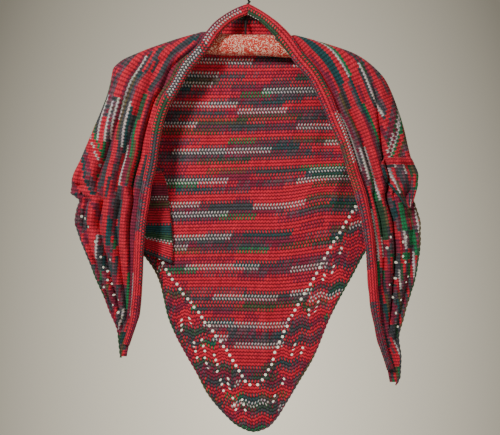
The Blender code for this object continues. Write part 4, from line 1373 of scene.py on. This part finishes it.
def smooth_route(points, steps):
    """Closely spaced points on a smooth curve through a route's own points."""
    points = np.array(points, float)
    ends = np.vstack([2 * points[0] - points[1], points, 2 * points[-1] - points[-2]])
    out = []
    for i in range(1, len(ends) - 2):
        a, b, c, d = ends[i - 1 : i + 3]
        for u in np.arange(steps) / steps:
            square, cube = 2 * a - 5 * b + 4 * c - d, 3 * b - a - 3 * c + d
            out.append(0.5 * (2 * b + (c - a) * u + square * u**2 + cube * u**3))
    out.append(points[-1])
    return np.array(out)


def make_hook():
    """The wire: up out of the padding, round the hook, and its bent end."""
    top = float(bar_middle(np.array([STEM_X]))[0]) - BAR_HALF_H
    radius = HOOK_INNER_R + WIRE_R
    route = [(STEM_X, -(top + STEM_DEPTH)), (STEM_X, -top), (STEM_X * 0.9, -80), (STEM_X * 0.5, -62)]
    route += [(0, -50), (1.5, -45), (-1, -40)]
    for angle in np.radians(np.arange(238, -26, -22)):
        route.append((radius * math.cos(angle), radius * math.sin(angle) - HOOK_INNER_R))
    smooth = smooth_route(route, 6)
    path = np.stack([smooth[:, 0], np.zeros(len(smooth)), smooth[:, 1]], -1)
    radii = np.full(len(path), WIRE_R)
    radii[-4:] = WIRE_R * np.array([0.97, 0.9, 0.75, 0.45])
    hook = tube("hook_wire", path, radii, 4)
    hook.data.materials.append(wire_material())
    down = np.linspace(44, 84, 90)
    stem_x = np.interp(-down, smooth[:60, 1], smooth[:60, 0])
    wind = (down - 44) / 9.0 * 2 * np.pi
    off = WIRE_R + 0.75
    twist = np.stack([stem_x + off * np.cos(wind), off * np.sin(wind), -down], -1)
    strand = tube("hook_twist", twist, np.full(len(twist), 0.8), 3)
    strand.data.materials.append(wire_material())
    return hook, strand


# Pieces on the frame


def finish_cloth(obj, nodes):
    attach(obj, "root")
    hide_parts(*nodes)


def finish_trim(obj):
    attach(obj, "root")


class KnitBack(bpy.types.Operator):
    """Knit the back, with its two lines of eyelets and its lace border."""

    bl_idname = "shawl.knit_back"
    bl_label = "Back"

    def execute(self, context):
        back = make_back()
        x = np.linspace(BACK_ENDS[0] + 1, BACK_ENDS[1] - 1, 900)
        down = along(BACK_HEM, "x", "down", x) + NUB
        edge = cast_off_edge("back_hem_edge", np.stack([x, back_y(x, down), -down], -1), 31)
        finish_trim(edge)
        nodes = ["back_panel", "back_border_left", "back_border_right"]
        finish_cloth(back, nodes)
        pleat = make_pleat()
        finish_cloth(pleat, ["left_back_fold"])
        return {"FINISHED"}


class KnitFronts(bpy.types.Operator):
    """Knit the two ends that come over the hanger's arms, and the stretch that folds over the right one."""

    bl_idname = "shawl.knit_fronts"
    bl_label = "Fronts"

    def execute(self, context):
        left = make_front(-1, "left_front", 3, ((0, 2), (8, 8), (17, 17), (23, 24), (30, 31)))
        right = make_front(1, "right_front", 8, ((0, 2), (8, 11), (15, 18), (23, 26), (31, 32)))
        for side, obj, node, last in ((-1, left, "left_wing", 611), (1, right, "right_wing", 655)):
            down = np.linspace(350, last, 500)
            x = along(front_tables(side)[0], "down", "side", down) + NUB * 0.6
            points = np.stack([side * x, front_y(side, x, down), -down], -1)
            edge = cast_off_edge(obj.name + "_hem_edge", points, 40 + side)
            finish_trim(edge)
            finish_cloth(obj, [node])
        flap = make_flap()
        finish_cloth(flap, ["right_wing_flap"])
        return {"FINISHED"}


class RollEdge(bpy.types.Operator):
    """Roll the shawl's long edge, from the tip of one front round the neck to the other's."""

    bl_idname = "shawl.roll_edge"
    bl_label = "Rolled edge"

    def execute(self, context):
        left, neck, right = roll_routes()
        for name, route, side, seed, node, rests in (
            ("left_roll", left, -1, 51, "left_front_roll", "left_front"),
            ("right_roll", right, 1, 55, "right_front_roll", "right_front"),
            ("neck_roll_knitted", neck, 1, 59, "neck_roll", "hook_wire"),
        ):
            roll = make_roll(name, route, side, seed)
            finish_cloth(roll, [node])
        return {"FINISHED"}


class CoverHanger(bpy.types.Operator):
    """Pad and cover the hanger's bar, and bend its hook."""

    bl_idname = "shawl.cover_hanger"
    bl_label = "Hanger"

    def execute(self, context):
        cover = make_cover()
        finish_trim(cover)
        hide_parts("hanger_body")
        hook, strand = make_hook()
        finish_trim(hook)
        finish_trim(strand)
        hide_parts("hanger_hook")
        return {"FINISHED"}


class SetStudio(bpy.types.Operator):
    """Set the plain floor, the soft light and the camera."""

    bl_idname = "shawl.set_studio"
    bl_label = "Studio"

    def execute(self, context):
        studio = context.scene.shawl_studio
        bm = bmesh.new()
        bmesh.ops.create_circle(bm, cap_ends=True, segments=64, radius=2.4)
        bmesh.ops.translate(bm, vec=(0, 0, -studio.floor_depth), verts=bm.verts)
        mesh = mesh_of(bm, "floor")
        mesh.materials.append(plain_material("plain floor", studio.floor, 0.9))
        floor = add_object("floor", mesh)
        context.scene.world = plain_room(studio)
        middle = Vector((studio.view_x, 0, studio.view_z))
        for name, place, energy, width in (
            ("key light", (-0.95, -1.45, 0.55), 34.0, 0.35),
            ("fill light", (1.1, -1.4, -0.2), 5.0, 0.9),
            ("back light", (0.5, 1.8, 0.4), 16.0, 0.9),
        ):
            light = bpy.data.lights.new(name, "AREA")
            light.energy = energy
            light.size = width
            lamp = add_object(name, light)
            lamp.location = place
            lamp.rotation_euler = (middle - Vector(place)).to_track_quat("-Z", "Y").to_euler()
        camera = bpy.data.cameras.new("camera")
        camera.sensor_width = 36.0
        camera.lens = camera.sensor_width * studio.distance / studio.view_width
        eye = add_object("camera", camera)
        eye.location = (studio.view_x, -studio.distance, studio.view_z)
        eye.rotation_euler = (math.pi / 2, 0, 0)
        context.scene.camera = eye
        return {"FINISHED"}


class ShawlPanel(bpy.types.Panel):
    """Steps that make the shawl, and what a user may change."""

    bl_idname = "VIEW3D_PT_shawl"
    bl_label = "Shawl"
    bl_space_type = "VIEW_3D"
    bl_region_type = "UI"
    bl_category = "Shawl"

    def draw(self, context):
        for operator in STEPS:
            self.layout.operator(operator.bl_idname)
        for group_name in GROUPS:
            group = getattr(context.scene, group_name)
            for prop in group.bl_rna.properties:
                if prop.identifier not in ("rna_type", "name"):
                    self.layout.prop(group, prop.identifier)


STEPS = (SetStudio, CoverHanger, KnitBack, KnitFronts, RollEdge)
GROUPS = {
    "shawl_yarn": YarnColours,
    "shawl_knit": KnitSizes,
    "shawl_hanger": HangerFinish,
    "shawl_studio": StudioSizes,
}


def register():
    for group in GROUPS.values():
        bpy.utils.register_class(group)
    for name, group in GROUPS.items():
        setattr(bpy.types.Scene, name, bpy.props.PointerProperty(type=group))
    for step in STEPS:
        bpy.utils.register_class(step)
    bpy.utils.register_class(ShawlPanel)


def unregister():
    bpy.utils.unregister_class(ShawlPanel)
    for step in reversed(STEPS):
        bpy.utils.unregister_class(step)
    for name in GROUPS:
        delattr(bpy.types.Scene, name)
    for group in reversed(GROUPS.values()):
        bpy.utils.unregister_class(group)


def main():
    register()
    bpy.ops.shawl.set_studio()
    bpy.ops.shawl.cover_hanger()
    bpy.ops.shawl.knit_back()
    bpy.ops.shawl.knit_fronts()
    bpy.ops.shawl.roll_edge()


if __name__ == "__main__":
    main()
